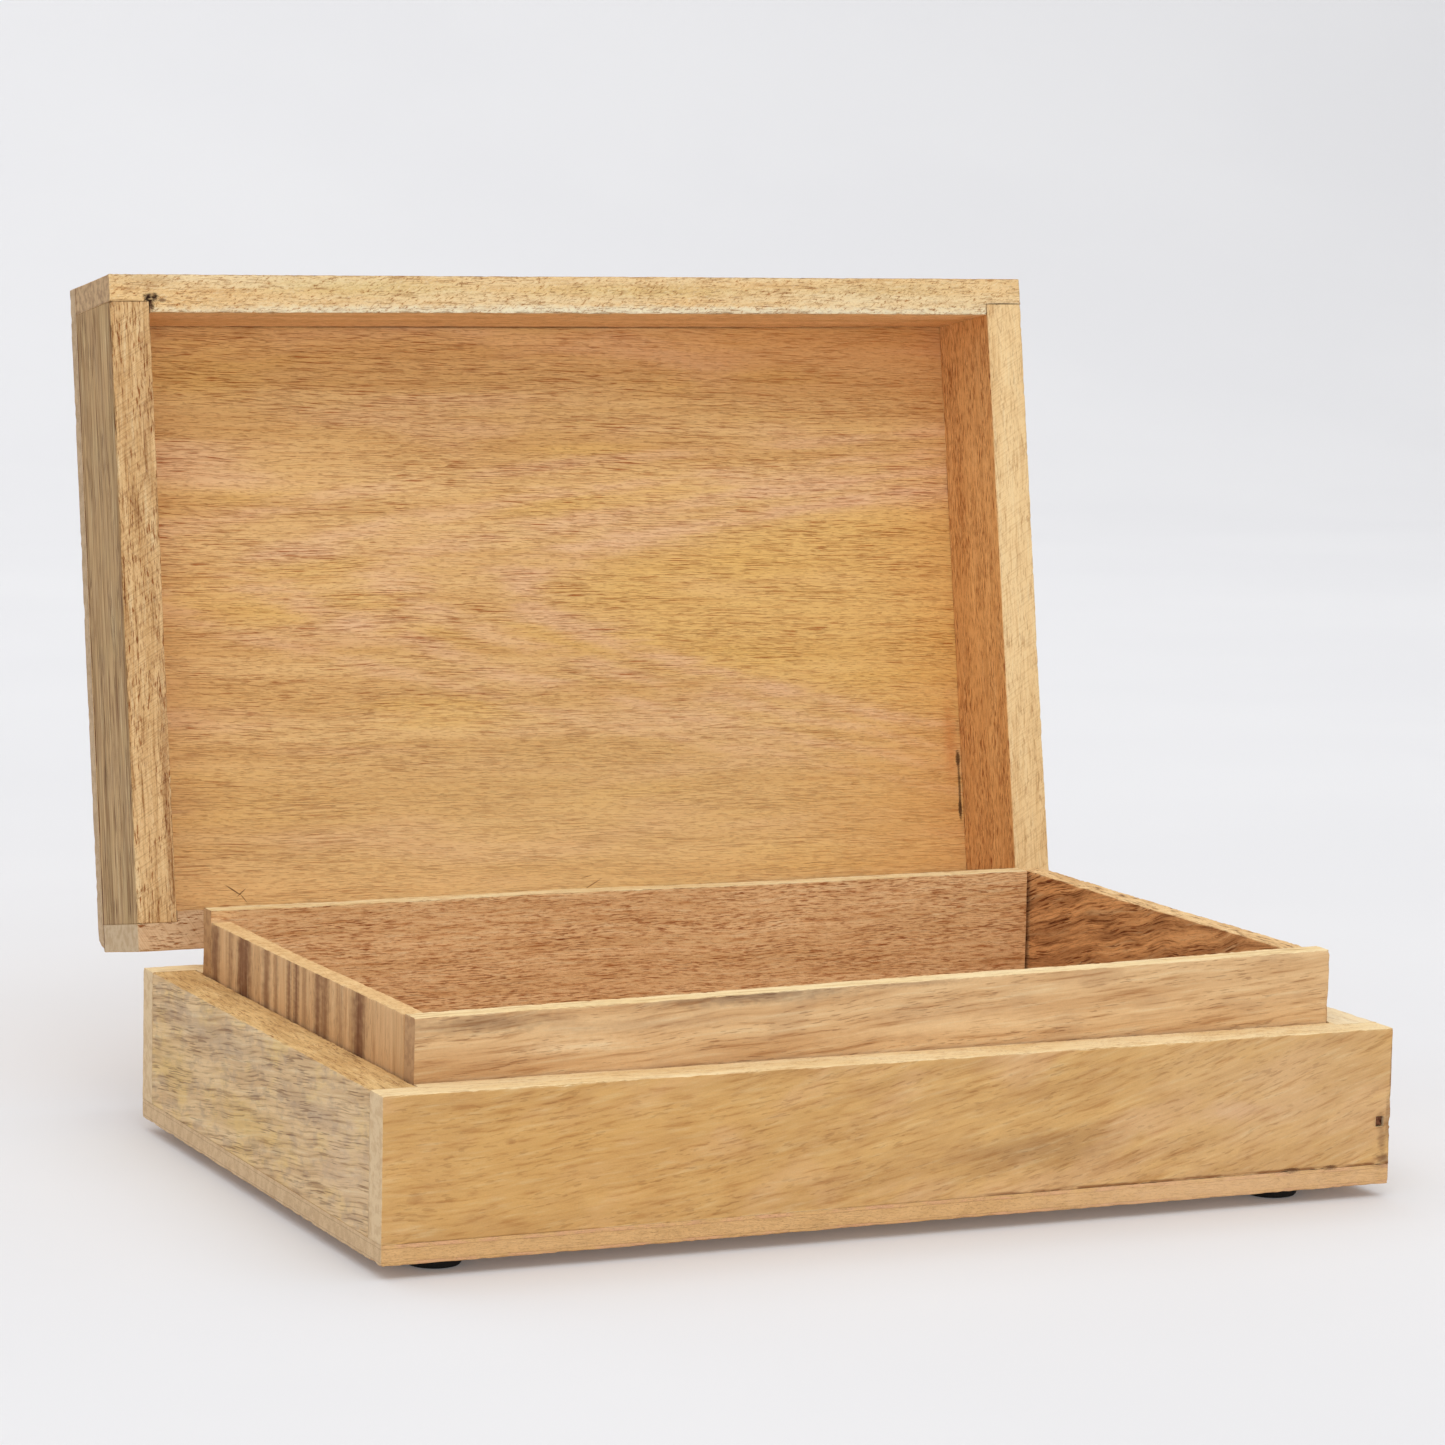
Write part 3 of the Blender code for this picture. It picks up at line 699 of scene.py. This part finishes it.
def long_board(group, side, hole=None):
    """Front or back board: full width, rabbeted at both ends."""
    length, height, thick = own_size(f"{group}_{side}_wall", side)
    tongue, reach = rabbet_of(group, side)
    step_x, step_z = length / 2 - reach, thick / 2 - tongue

    def rabbet(x, y, z):
        return (abs(x) > step_x) & (z < step_z)

    empty, breaks = [rabbet], [[-step_x, step_x], [], [step_z]]
    if hole:
        (hx, hy), (wide, tall), deep = hole
        floor = thick / 2 - deep
        empty.append(lambda x, y, z: (abs(x - hx) < wide / 2) & (abs(y - hy) < tall / 2) & (z > floor))
        for found, middle, width in zip(breaks, (hx, hy), (wide, tall)):
            found += [middle + s * (width / 2 + d) for s in (-1, 1) for d in HOLE_RINGS]
        breaks[2].append(floor)
    shape = Skin((length, height, thick), breaks=breaks, empty=empty)
    glued = (abs(shape.flat[:, 0]) > step_x - 0.02) & (shape.flat[:, 2] < step_z + 0.02)
    shape.free[glued] = 0
    return shape


def wall(group, side, seed, chips=0.34, hole=None):
    """A worn wall: free edges eased, faces sunk a little, glued faces run into the gap, rim chipped."""
    node, long = f"{group}_{side}_wall", side in ("front", "back")
    shape = long_board(group, side, hole) if long else Skin(own_size(node, side))
    r, s = ("y+", "y-") if RIM_SIDES[group] > 0 else ("y-", "y+")
    shape.ease(r + "z+", EASE, 0.55, seed)
    shape.ease(r + "z-", EASE * 0.7, 0.5, seed + 1)
    if long:
        for e in ("x-", "x+"):
            shape.ease(e + "z+", EASE, 0.5, seed + 2)
            shape.ease(e + r, EASE * 0.8, 0.5, seed + 3)
    shape.hollow(*WARP, seed + 4)
    shape.hollow(*PLANING, seed + 5)
    if group == "lid":
        shape.room = np.array(LID_ROOM)
    for glued in [s] if long else [s, "x-", "x+"]:
        shape.press(glued, -SEAM_REACH)
    shape.nibble(r + "z+", chips, 0.9, 1.5, 0.4, seed + 6)
    shape.nibble(r + "z-", chips * 0.8, 0.8, 1.3, 0.4, seed + 7)
    return node, shape


# ---- base ----
BRAD_PLAY, BRAD_HOLE = 0.3, 3.0   # room round the brad and depth of its hole
RIGHT_HALF = (0, 50, 127)         # axis, from, to
FRONT_BROAD = (
    ((-80, 0), (70, 24, 8), 0xDAA862, 0.6),
    ((98, 2), (44, 22, 8), 0xE0B886, 0.6))
ROUND_BRAD = (
    ((0.2, 0), (1.9, 2.4, 2.5), 0x744A2C, 0.6, 0.8),
    ((0.9, -4.6), (1.4, 3.6, 2), 0x7E5438, 0.5, 0.8),
    ((2.2, 1), (0.7, 6, 2), 0x80583A, 0.45, 0.7))
BELOW_BRAD = (
    ((1.4, 1.2), (2.6, 1.3, 2), 0x704A32, 0.7, 0.8),
    ((-13, 0.1), (2, 0.45, 2), 0x684026, 0.8, 0.6),
    ((-23.5, 0.1), (2.4, 0.55, 2), 0x684026, 0.8, 0.6))
FRONT_SMALL = (
    ((126.9, 7), (0.6, 8, 3), 0x885C4C, 0.7, 0.8),
    ((126.9, -6), (0.5, 9, 3), 0x885C4C, 0.6, 0.8),
    ((34, -6.6), (26, 5.5, 6), 0xB08658, 0.6),
    ((84.7, -1), (12, 3.2, 6), 0xDEB48E, 0.55),
    ((-97.2, 4.2), (1.4, 0.8, 3), 0xA46E3E, 0.55, 0.9),
    ((-119.1, -6.8), (2, 1.5, 3), 0xB07C4A, 0.45, 0.9))
BASE_LEFT_MARKS = (
    ((-5, -6.5), (30, 6, 8), 0xE2BC76, 0.6),
    ((-60, -4), (18, 8, 8), 0xDEBA76, 0.5),
    ((60, -3), (22, 14, 8), 0xE4C4A0, 0.55),
    ((-34, 8.5), (44, 4.5, 8), 0xB0947C, 0.5),
    ((40, 4.5), (28, 3.2, 8), 0xB29680, 0.45))


def build_base_front():
    brad_low, brad_high = closed_box("brad_front")
    wall_low, wall_high = closed_box("base_front_wall")
    hx, _, hy = (brad_low + brad_high - wall_low - wall_high) / 2
    wide, _, tall = brad_high - brad_low + BRAD_PLAY
    node, shape = wall("base", "front", 10, hole=((hx, hy), (wide, tall), BRAD_HOLE))
    shape.nibble("y-z+", 0.3, 0.6, 2, 0.46, 31, RIGHT_HALF)
    shape.nibble("x+z+", 0.45, 0.8, 0.9, 0.46, 32)
    low, out = -shape.half[1], shape.half[2]
    marks = marks_from((0, 0, out), FRONT_BROAD) + marks_from((hx, hy, out), ROUND_BRAD)
    marks += marks_from((hx, low, out), BELOW_BRAD) + marks_from((0, 0, out), FRONT_SMALL)
    place_wood(shape, node, 1, 0xE2B574, 0xCA9C62, bands=(60, 6), sweep=(0.2, 0.0011),
               streaks=(11, 1.2, 0.5), pores=(3.4, 0.6, 0.57, 0.24), rim=PALE, rim_dash=0.35,
               end=CREAM_END, clouds=((13, 0.5, 0xE4B88A), (5, 0.45, 0xC69660)), marks=marks, bend=3,
               glue=(low, 0.75, 18, 130))


def build_base_back():
    node, shape = wall("base", "back", 40)
    place_wood(shape, node, 2, 0xE0B478, 0xC89A62, slant=-4, rim=PALE, end=CREAM_END,
               clouds=((18, 0.4, 0xD0AA7A),))


def build_base_left():
    node, shape = wall("base", "left", 60)
    place_wood(shape, node, 3, 0xEECE9E, 0xD8B486, slant=8, bands=(34, 3), bend=3, contrast=1.2,
               streaks=(22, 0.8, 0.72), tint=0xB6A08E, pores=(9, 0.46, 0.56, 0.58), pore_tint=0x967C6C,
               rim=(0xEAC486, 0xD4AA6E), rim_dash=0.75, clouds=((6, 0.62, 0xF0CE8A), (3, 0.5, 0xB69A80)),
               marks=marks_from((0, 0, shape.half[2]), BASE_LEFT_MARKS))


def build_base_right():
    node, shape = wall("base", "right", 80)
    place_wood(shape, node, 4, 0xE2B87C, 0xCC9E66, slant=3, rim_dash=0.25, rim=(0xFFECC4, 0xF8DEAE),
               clouds=((14, 0.4, 0xD6B080),))


# ---- lid ----
DENTS = (-109, 32, 46, 65, 89)    # where the front board's outer edge is torn
LID_FRONT_RIM = (
    ((0, 0, 0.4), (150, 2, 2), 0xFFF6D6, 0.8, 0.7),
    ((-60, 0, 6.5), (34, 2, 3), 0xE8CE86, 0.45),
    ((16, 0, 6), (44, 2, 2.2), 0xEAD08A, 0.45),
    ((86, 0, 6.6), (30, 2, 2.6), 0xE6C686, 0.45),
    ((-116, 0, 8.2), (8, 1.5, 2), 0xCEA670, 0.6))
LID_LEFT_RIM = (
    ((-46, 0, 1.3), (40, 2, 1), 0xB08052, 0.6),
    ((-20, 0, 5), (26, 2, 1.6), 0xEEC68C, 0.5),
    ((44, 0, 2.4), (22, 2, 1.6), 0xC49664, 0.5))


def build_lid_front():
    node, shape = wall("lid", "front", 100, 0.36)
    shape.ease("y-z+", 0.75, 0.25, 133)
    shape.nibble("y-z-", 0.45, 1.2, 0.8, 0.36, 131)
    shape.nibble("y-z+", 0.4, 0.8, 0.9, 0.3, 132)
    low, inner = -shape.half[1], -shape.half[2]
    tongue, reach = rabbet_of("lid", "front")
    step_x, seam_z = shape.half[0] - reach, shape.half[2] - tongue
    # Painted shade: the first three darken the two pits pressed in below and the wood beside one; the last
    # three are dark seam lines.
    holes = [((-116, low, inner + 3.9), (2.1, 2.4, 1.3), 0x3E2618, 1, 0.4),
             ((-step_x + 0.7, low, inner + 2.2), (0.8, 2.2, 1.8), 0x543420, 0.95, 0.5),
             ((-113.3, low, inner + 3.2), (1.2, 1.8, 0.6), 0x785234, 0.8, 0.6),
             ((121.4, low, seam_z), (6.4, 2, 0.32), 0x68462C, 0.85, 0.6),
             ((-121.4, low, seam_z), (6, 2, 0.22), 0x966C48, 0.45, 0.6),
             ((step_x, low, inner + 1.6), (0.3, 2, 1.6), 0x704C30, 0.7, 0.6)]
    shape.pit((-116, low, inner + 3.9), (1.9, 1.8, 1.2), 1.6)
    shape.pit((-step_x + 0.9, low, inner + 2), (0.7, 1.4, 1.6), 1)
    shape.whiskers("y-z-", 260, (0.8, 2.8), (0.05, 0.1), 141, 0.22)
    shape.whiskers("y-z+", 110, (0.8, 2.4), (0.05, 0.09), 142, 0.06)
    for i, x in enumerate(DENTS):
        shape.whiskers("y-z+", 9, (1.4, 3.6), (0.06, 0.12), 143 + i, 0.12, (x - 3, x + 3))
    place_wood(shape, node, 5, 0xE0B47A, 0xC49660, slant=2, streaks=(14, 1, 0.45),
               pores=(3, 0.26, 0.58, 0.5), pore_tint=0x9E6C42, clouds=((15, 0.4, 0xE6C48C),),
               rim=(0xFFEABC, 0xF8D092), rim_dash=0.7, hatch=0.12, woolly=0.95, end=(0xCEAC82, 0xAC8A66),
               inside=(0xFCD29A, 0xEABE84), sawn=0.1, fleck=0.55, glue=(shape.half[1], 0.9, -130, 130),
               rim_marks=marks_from((0, low, inner), LID_FRONT_RIM), holes=holes)


def build_lid_back():
    node, shape = wall("lid", "back", 120, 0.4)
    place_wood(shape, node, 6, 0xDEB27A, 0xC69862, slant=-3, sawn=0.08, hatch=0.3,
               rim=(0xE6C298, 0xD2AC82), rim_dash=1, end=(0xD4BA96, 0xC6A882),
               glue=(shape.half[1], 0.8, -130, 130))


def build_lid_left():
    node, shape = wall("lid", "left", 140, 0.36)
    shape.whiskers("y-z-", 60, (0.8, 2.2), (0.05, 0.09), 151, 0.08)
    rim_corner = (0, -shape.half[1], -shape.half[2])
    place_wood(shape, node, 7, 0xC8A474, 0xA48054, bands=(70, 2.6), contrast=1.5, bend=1.2,
               streaks=(22, 0.9, 0.95), tint=0xB29674, pores=(7, 0.3, 0.55, 0.85), pore_tint=0x806042,
               clouds=((9, 0.5, 0xBEA070), (6, 0.35, 0xAA8864)), rim=(0xF0CA92, 0xD6AA72), rim_dash=1,
               hatch=0.3, woolly=0.35, inside=(0xECBA80, 0xDEA870), sawn=0.05,
               glue=(shape.half[1], 0.9, -130, 130), rim_marks=marks_from(rim_corner, LID_LEFT_RIM))


def build_lid_right():
    node, shape = wall("lid", "right", 160, 0.3)
    shape.whiskers("y-z+", 40, (0.8, 2), (0.05, 0.08), 161, 0.08)
    place_wood(shape, node, 8, 0xE2B87C, 0xCC9E66, slant=1, streaks=(14, 0.8, 0.5),
               pores=(2.6, 0.28, 0.53, 0.85), pore_tint=0xAC7446, sawn=0.12, fleck=0.75,
               rim=(0xFFDEA6, 0xF4CE94), rim_dash=0.45, hatch=0.22, woolly=0.15,
               inside=(0xFED08E, 0xECB878))


# ---- liner ----
LINER_RIM = (0xFFE8B6, 0xF4D49A)
WARM_RIM = (0xF6D096, 0xE6BC82)
LINER_WARP = (0.2, (60, 26, 26))
LINER_PLANING = (0.06, (4, 1.4, 1.4))
LINER_FRONT_MARKS = (
    ((-99, -5.2), (20, 2.6, 4), 0xAC8A66, 0.85),
    ((-34, -2.6), (30, 2.5, 4), 0xA68868, 0.9),
    ((6, -2), (16, 1, 4), 0xAC8A68, 0.6),
    ((-112, -15), (15, 2.4, 4), 0xC49868, 0.7),
    ((-60, -7.6), (26, 1.8, 4), 0xC29C74, 0.55),
    ((-79, -11.4), (18, 1.9, 4), 0xF6D6A8, 0.75),
    ((16, -12), (34, 2.6, 4), 0xF4D09E, 0.6),
    ((-100, -26.9), (46, 18, 6), 0xCEA06E, 0.6))
STRIPE_TINT = 0x865836
STRIPES = ((35, 4.6, 1), (47, 2.6, 0.35), (57.6, 2.8, 0.8), (62.4, 2.6, 0.9), (71.5, 1.6, 0.4),
           (77, 2, 0.9), (82, 1.8, 0.8), (91, 1.8, 0.5), (98, 3, 0.8), (112, 3.4, 1),
           (115.5, 3.4, 1), (124, 2.2, 0.5), (135, 3.4, 0.9), (144, 4, 1))


def liner_tops(node, side):
    """Height of a liner board's upper edge at its two ends, below its box's top."""
    along = turn_of(side).to_3x3().transposed()
    own = np.array([along @ Vector(p) for p in closed_points(node)])
    middle = (own[:, 0].min() + own[:, 0].max()) / 2
    top = own[:, 1].max()
    return [top - own[half, 1].max() for half in (own[:, 0] < middle, own[:, 0] > middle)]


def liner_board(side, seed, chips=0.3, uneven=0.6):
    """One thin board whose upper edge slopes and waves a little, as if cut by hand."""
    node = "liner_" + side
    size = own_size(node, side)
    shape = Skin(size, step=(1, 1.6, 1.5))
    first, last = liner_tops(node, side)
    shape.ease("y+z+", 0.45, uneven, seed)
    shape.ease("y+z-", 0.4, uneven, seed + 1)
    for end in ("x-", "x+"):
        shape.ease(end + "z+", 0.25, 0.6, seed + 2)
        shape.ease(end + "y+", 0.35, 0.6, seed + 3)
    shape.taper(lambda x: first + (last - first) * (x / size[0] + 0.5) + 0.12 * (1 + np.sin(x / 19 + seed)))
    shape.hollow(*LINER_WARP, seed + 4)
    shape.hollow(*LINER_PLANING, seed + 5)
    shape.nibble("y+z+", chips, 1, 1.3, 0.42, seed + 6)
    shape.nibble("y+z-", chips, 1, 1.1, 0.42, seed + 7)
    return node, shape


def build_liner_front():
    node, shape = liner_board("front", 200)
    shape.nibble("x+z+", 0.5, 1, 0.9, 0.5, 211)
    shape.nibble("x+y+", 0.6, 1.2, 0.9, 0.5, 212)
    shape.whiskers("x+z+", 30, (0.5, 1.4), (0.05, 0.09), 213, 0.05)
    place_wood(shape, node, 21, 0xEAC492, 0xD6AA78, slant=4, bands=(70, 3.4), streaks=(22, 1.2, 0.7),
               tint=0xC4A688, pores=(4, 0.34, 0.59, 0.45), rim=LINER_RIM, rim_dash=0.25,
               end=(0xC89E72, 0xB68C62), clouds=((7, 0.45, 0xC8A076),),
               marks=marks_from((0, shape.half[1], shape.half[2]), LINER_FRONT_MARKS))


def build_liner_back():
    node, shape = liner_board("back", 230)
    shape.whiskers("y+z-", 40, (0.6, 1.8), (0.05, 0.09), 233, 0.06)
    place_wood(shape, node, 22, 0xD6A06A, 0xC28E5C, bands=(70, 4), streaks=(10, 0.7, 0.8), tint=0xCCA47C,
               pores=(3.2, 0.3, 0.55, 0.75), pore_tint=0xB68254, fleck=0.7, rim=LINER_RIM, rim_dash=0.4,
               end=(0xC49666, 0xB08256), sawn=0.34, inside=(0xFCD49E, 0xEABE86),
               clouds=((12, 0.4, 0xE0AC76),))


def build_liner_left():
    """The left board's grain stands upright, in dark stripes set out from the box's front."""
    node, shape = liner_board("left", 260, 0.2, 0.25)
    front_x = shape.half[0] + closed_box("liner_left")[0][1] - closed_box("liner_front")[0][1]
    marks = [((front_x - d, 0, shape.half[2]), (w * 1.15, 80, 4), STRIPE_TINT, strength)
             for d, w, strength in STRIPES]
    place_wood(shape, node, 23, 0xE6BA86, 0xD0A472, slant=90, bands=(60, 4), streaks=(20, 1, 0.55),
               pores=(3, 0.34, 0.58, 0.45), rim=WARM_RIM, rim_dash=0.2, inside=(0xE8BA86, 0xDAA874),
               marks=marks, sawn=0.1)


def build_liner_right():
    node, shape = liner_board("right", 290)
    place_wood(shape, node, 24, 0xCE9C68, 0xB08054, slant=-14, bands=(40, 4), bend=7, contrast=1.9,
               streaks=(26, 1.3, 1), tint=0x8E6A4A, pores=(8, 0.45, 0.54, 0.9), rim=WARM_RIM, rim_dash=0.5,
               inside=(0xF2BE82, 0xC49260), sawn=0.1, fleck=0.4)


# ---- panels ----
PANEL_OUTER = ("x-z+", "x+z+", "y-z+", "y+z+")
PANEL_CORNERS = ("x-y-", "x-y+", "x+y-", "x+y+")
TORN_CORNER = 4.5        # radius of the lid panel's missing corner
TONGUE_APEX = (-7, 78.6)        # x, and y from the front edge
BOTTOM_MARKS = (
    ((110.8, 0), (2, 2, 0.5), 0x684026, 0.75, 0.7),
    ((100.2, 0), (2.4, 2, 0.6), 0x684026, 0.75, 0.7),
    ((84, 0, 2.4), (56, 3, 4), 0xEEC496, 0.55),
    ((124.6, 0), (2.8, 2, 1.2), 0x966C4C, 0.5, 0.8))
LID_PANEL_STAINS_AND_PAINTED_LIGHT = (
    # Painted light: the first row makes the panel paler towards its back edge, the lower part when the lid
    # stands open. The other rows are the panel's own marks.
    ((0, 149.5), (150, 52, 2), 0xFFDE9C, 0.42),
    ((92, 14), (90, 20, 2), 0xE2A05E, 0.5),
    ((104, 141.5), (40, 40, 2), 0xF8C270, 0.4),
    ((115.8, 134.5), (0.45, 8, 0.8), 0x5C4426, 0.8, 0.6),
    ((-92.4, 153.4), (2.6, 0.2, 0.8), 0x704624, 0.95, 0.6, 34),
    ((-90.2, 154.2), (1.7, 0.18, 0.8), 0x784C28, 0.9, 0.6, -38),
    ((-89.6, 155.7), (1.5, 0.16, 0.8), 0x7E522C, 0.8, 0.6, 52),
    ((6.5, 156.5), (3, 0.18, 0.8), 0x966234, 0.8, 0.6, -28),
    ((5, 154.4), (2, 0.16, 0.8), 0x9C683A, 0.7, 0.6, -12),
    ((113.6, 122), (2.4, 13, 0.8), 0xE29654, 0.55),
    ((115.7, 127.5), (0.8, 2.6, 0.8), 0x563C22, 0.9, 0.5),
    ((115.7, 141), (0.6, 3.4, 0.8), 0x563C22, 0.9, 0.5),
    ((0, 9.9), (112, 0.3, 0.8), 0x8E5E36, 0.75, 0.8),
    ((-110, 133), (8, 0.5, 0.8), 0xDEB084, 0.6, 0.9))


def panel_board(node, side, seed):
    """A plywood sheet with eased and chipped outer edges."""
    shape = Skin(own_size(node, side), step=(1.5, 1.5, 1.2))
    for edge in PANEL_OUTER:
        shape.ease(edge, EASE, 0.5, seed)
    for corner in PANEL_CORNERS:
        shape.ease(corner, EASE, 0.5, seed + 1)
    shape.hollow(0.12, (60, 60, 60), seed + 2)
    shape.press("z-", 0)
    for edge in PANEL_OUTER:
        shape.nibble(edge, 0.35, 0.9, 1.6, 0.42, seed + 3)
    return shape


def build_bottom_panel():
    shape = panel_board("base_bottom_panel", "bottom", 320)
    marks = marks_from((0, shape.half[1], -shape.half[2]), BOTTOM_MARKS)
    material = ply("bottom_plywood", 31, (0xE2B67E, 0xCE9E68, 0xE4BC92, 0xE4BA76),
                   (0xE6B87E, 0xDEB076), (0xE4B67A, 0xE6B284),
                   (0xEACA9E, 0xDEBC90), marks=marks)
    place(shape, "base_bottom_panel", "bottom", material, "plywood")


def build_lid_panel():
    shape = panel_board("lid_top_panel", "top", 340)
    shape.ease("x-y+", TORN_CORNER, 0.2, 345)
    front = -shape.half[1]
    material = ply("lid_plywood", 32, (0xF8CE8E, 0xEABB78, 0xFCD0A6, 0xF8CC76),
                   (0xE0C09A, 0xD6B28E), (0xDEBE96, 0xD0AE8A),
                   (0xD6B892, 0xC6A680), figure=(TONGUE_APEX[0], front + TONGUE_APEX[1]),
                   marks=marks_from((0, front, -shape.half[2]), LID_PANEL_STAINS_AND_PAINTED_LIGHT))
    place(shape, "lid_top_panel", "top", material, "plywood")


# ---- hardware ----
SHARP = math.radians(35)          # corners sharper than this are rounded


def soften(obj, width):
    """Round a CAD piece's corners a little without touching its mesh."""
    mod = obj.modifiers.new("softened", "BEVEL")
    mod.width = width * MM
    mod.segments = 3
    mod.limit_method = "ANGLE"
    mod.angle_limit = SHARP


def dress_hardware():
    """Give the CAD nodes that stay in view a material, and the hinges and screws soft corners."""
    metal = brass()
    looks = {"hinge": (metal, 0.22), "screw": (metal, 0.12), "brad": (steel(), 0), "foot": (rubber(), 0)}
    for name, obj in frame["nodes"].items():
        if not obj.hide_render:
            material, softness = looks[name.split("_")[0]]
            obj.data.materials.clear()
            obj.data.materials.append(material)
            if softness:
                soften(obj, softness)


# ---- stage, in metres ----
PAPER_GLOW = 0.075
PAPER_TONES = (0.76, 0.76, 0.775, 1), (0.78, 0.78, 0.792, 1)
WORLD_COLOUR, WORLD_STRENGTH = (1, 1, 1.015, 1), 0.44
BOX_MIDDLE = (0, 0, 0.08)
LIGHTS = (               # name, place, size, watts, target
    ("overhead_softbox", (0, 0.3, 2.4), (4.6, 4.6), 47, (0, 0.3, 0)),
    ("front_softbox", (-0.4, -1.5, 2), (2, 1.2), 10, BOX_MIDDLE),
    ("low_softbox", (-0.5, -2.3, 0.6), (2, 0.8), 9, BOX_MIDDLE),
    ("backdrop_softbox", (0.4, 0.9, 2.2), (3, 0.6), 7, (0.8, 2.5, 0.7)))
YAW, PITCH, ROLL = (math.radians(angle) for angle in (24.78, 6.9, 1.22))
EYE = (-492.3, -971.3, 211.2)     # mm from the middle of the base's front rim
SENSOR, LENS, SHIFT = 36, 122.4, (-0.0142, -0.0114)
CLIP = (0.05, 20)


def paper():
    g = Graph("pale_paper", specular=0.15)
    cloud = g.grain(2, 300, 240, detail=3)
    g.shader.inputs["Emission Color"].default_value = (1, 1, 1.01, 1)
    g.shader.inputs["Emission Strength"].default_value = PAPER_GLOW
    colour = g.mix(g.rise(cloud, 0.3, 0.7), *PAPER_TONES)
    return g.finish(colour, g.add(0.85, g.mul(cloud, 0.1)), g.mul(cloud, 0.01))


def build_stage():
    """Pale paper sweep: floor, curve and wall in one sheet."""
    wide, near, far, radius, height, steps = 4, -3, 1.6, 0.9, 3, 24
    curve = [math.pi / 2 * i / steps for i in range(1, steps + 1)]
    profile = [(near, 0), (far, 0)]
    profile += [(far + radius * math.sin(a), radius - radius * math.cos(a)) for a in curve]
    profile.append((far + radius, height))
    verts = [(x, y, z) for y, z in profile for x in (-wide, wide)]
    faces = [(2 * i, 2 * i + 1, 2 * i + 3, 2 * i + 2) for i in range(len(profile) - 1)]
    mesh = bpy.data.meshes.new("paper_sweep")
    mesh.from_pydata(verts, [], faces)
    mesh.polygons.foreach_set("use_smooth", [True] * len(mesh.polygons))
    mesh.materials.append(paper())
    sweep = bpy.data.objects.new("paper_sweep", mesh)
    bpy.context.scene.collection.objects.link(sweep)


def area_light(name, place_at, size, power, target):
    light = bpy.data.lights.new(name, "AREA")
    light.shape = "RECTANGLE"
    light.size, light.size_y = size
    light.energy = power
    obj = bpy.data.objects.new(name, light)
    obj.location = place_at
    obj.rotation_euler = (Vector(target) - Vector(place_at)).to_track_quat("-Z", "Y").to_euler()
    bpy.context.scene.collection.objects.link(obj)


def build_lights():
    world = bpy.data.worlds.new("studio")
    world.use_nodes = True
    background = world.node_tree.nodes["Background"]
    background.inputs["Color"].default_value = WORLD_COLOUR
    background.inputs["Strength"].default_value = WORLD_STRENGTH
    bpy.context.scene.world = world
    for row in LIGHTS:
        area_light(*row)
    bpy.context.scene.view_settings.view_transform = "Standard"


def build_camera():
    """Long lens, a little above the rim, seeing the front and the left side."""
    low, high = closed_box("base_front_wall")
    ahead = Vector((math.sin(YAW) * math.cos(PITCH), math.cos(YAW) * math.cos(PITCH), -math.sin(PITCH)))
    level = Vector((math.cos(YAW), -math.sin(YAW), 0))
    right = math.cos(ROLL) * level + math.sin(ROLL) * level.cross(ahead)
    up = right.cross(ahead)
    data = bpy.data.cameras.new("camera")
    data.sensor_width, data.lens = SENSOR, LENS
    data.shift_x, data.shift_y = SHIFT
    data.clip_start, data.clip_end = CLIP
    obj = bpy.data.objects.new("camera", data)
    turn = Matrix((right, up, -ahead)).transposed().to_4x4()
    obj.matrix_world = Matrix.Translation((Vector((0, low[1], high[2])) + Vector(EYE)) * MM) @ turn
    bpy.context.scene.collection.objects.link(obj)
    bpy.context.scene.camera = obj


for build in (build_base_front, build_base_back, build_base_left, build_base_right,
              build_lid_front, build_lid_back, build_lid_left, build_lid_right,
              build_liner_front, build_liner_back, build_liner_left, build_liner_right,
              build_bottom_panel, build_lid_panel, dress_hardware, build_stage, build_lights, build_camera):
    build()
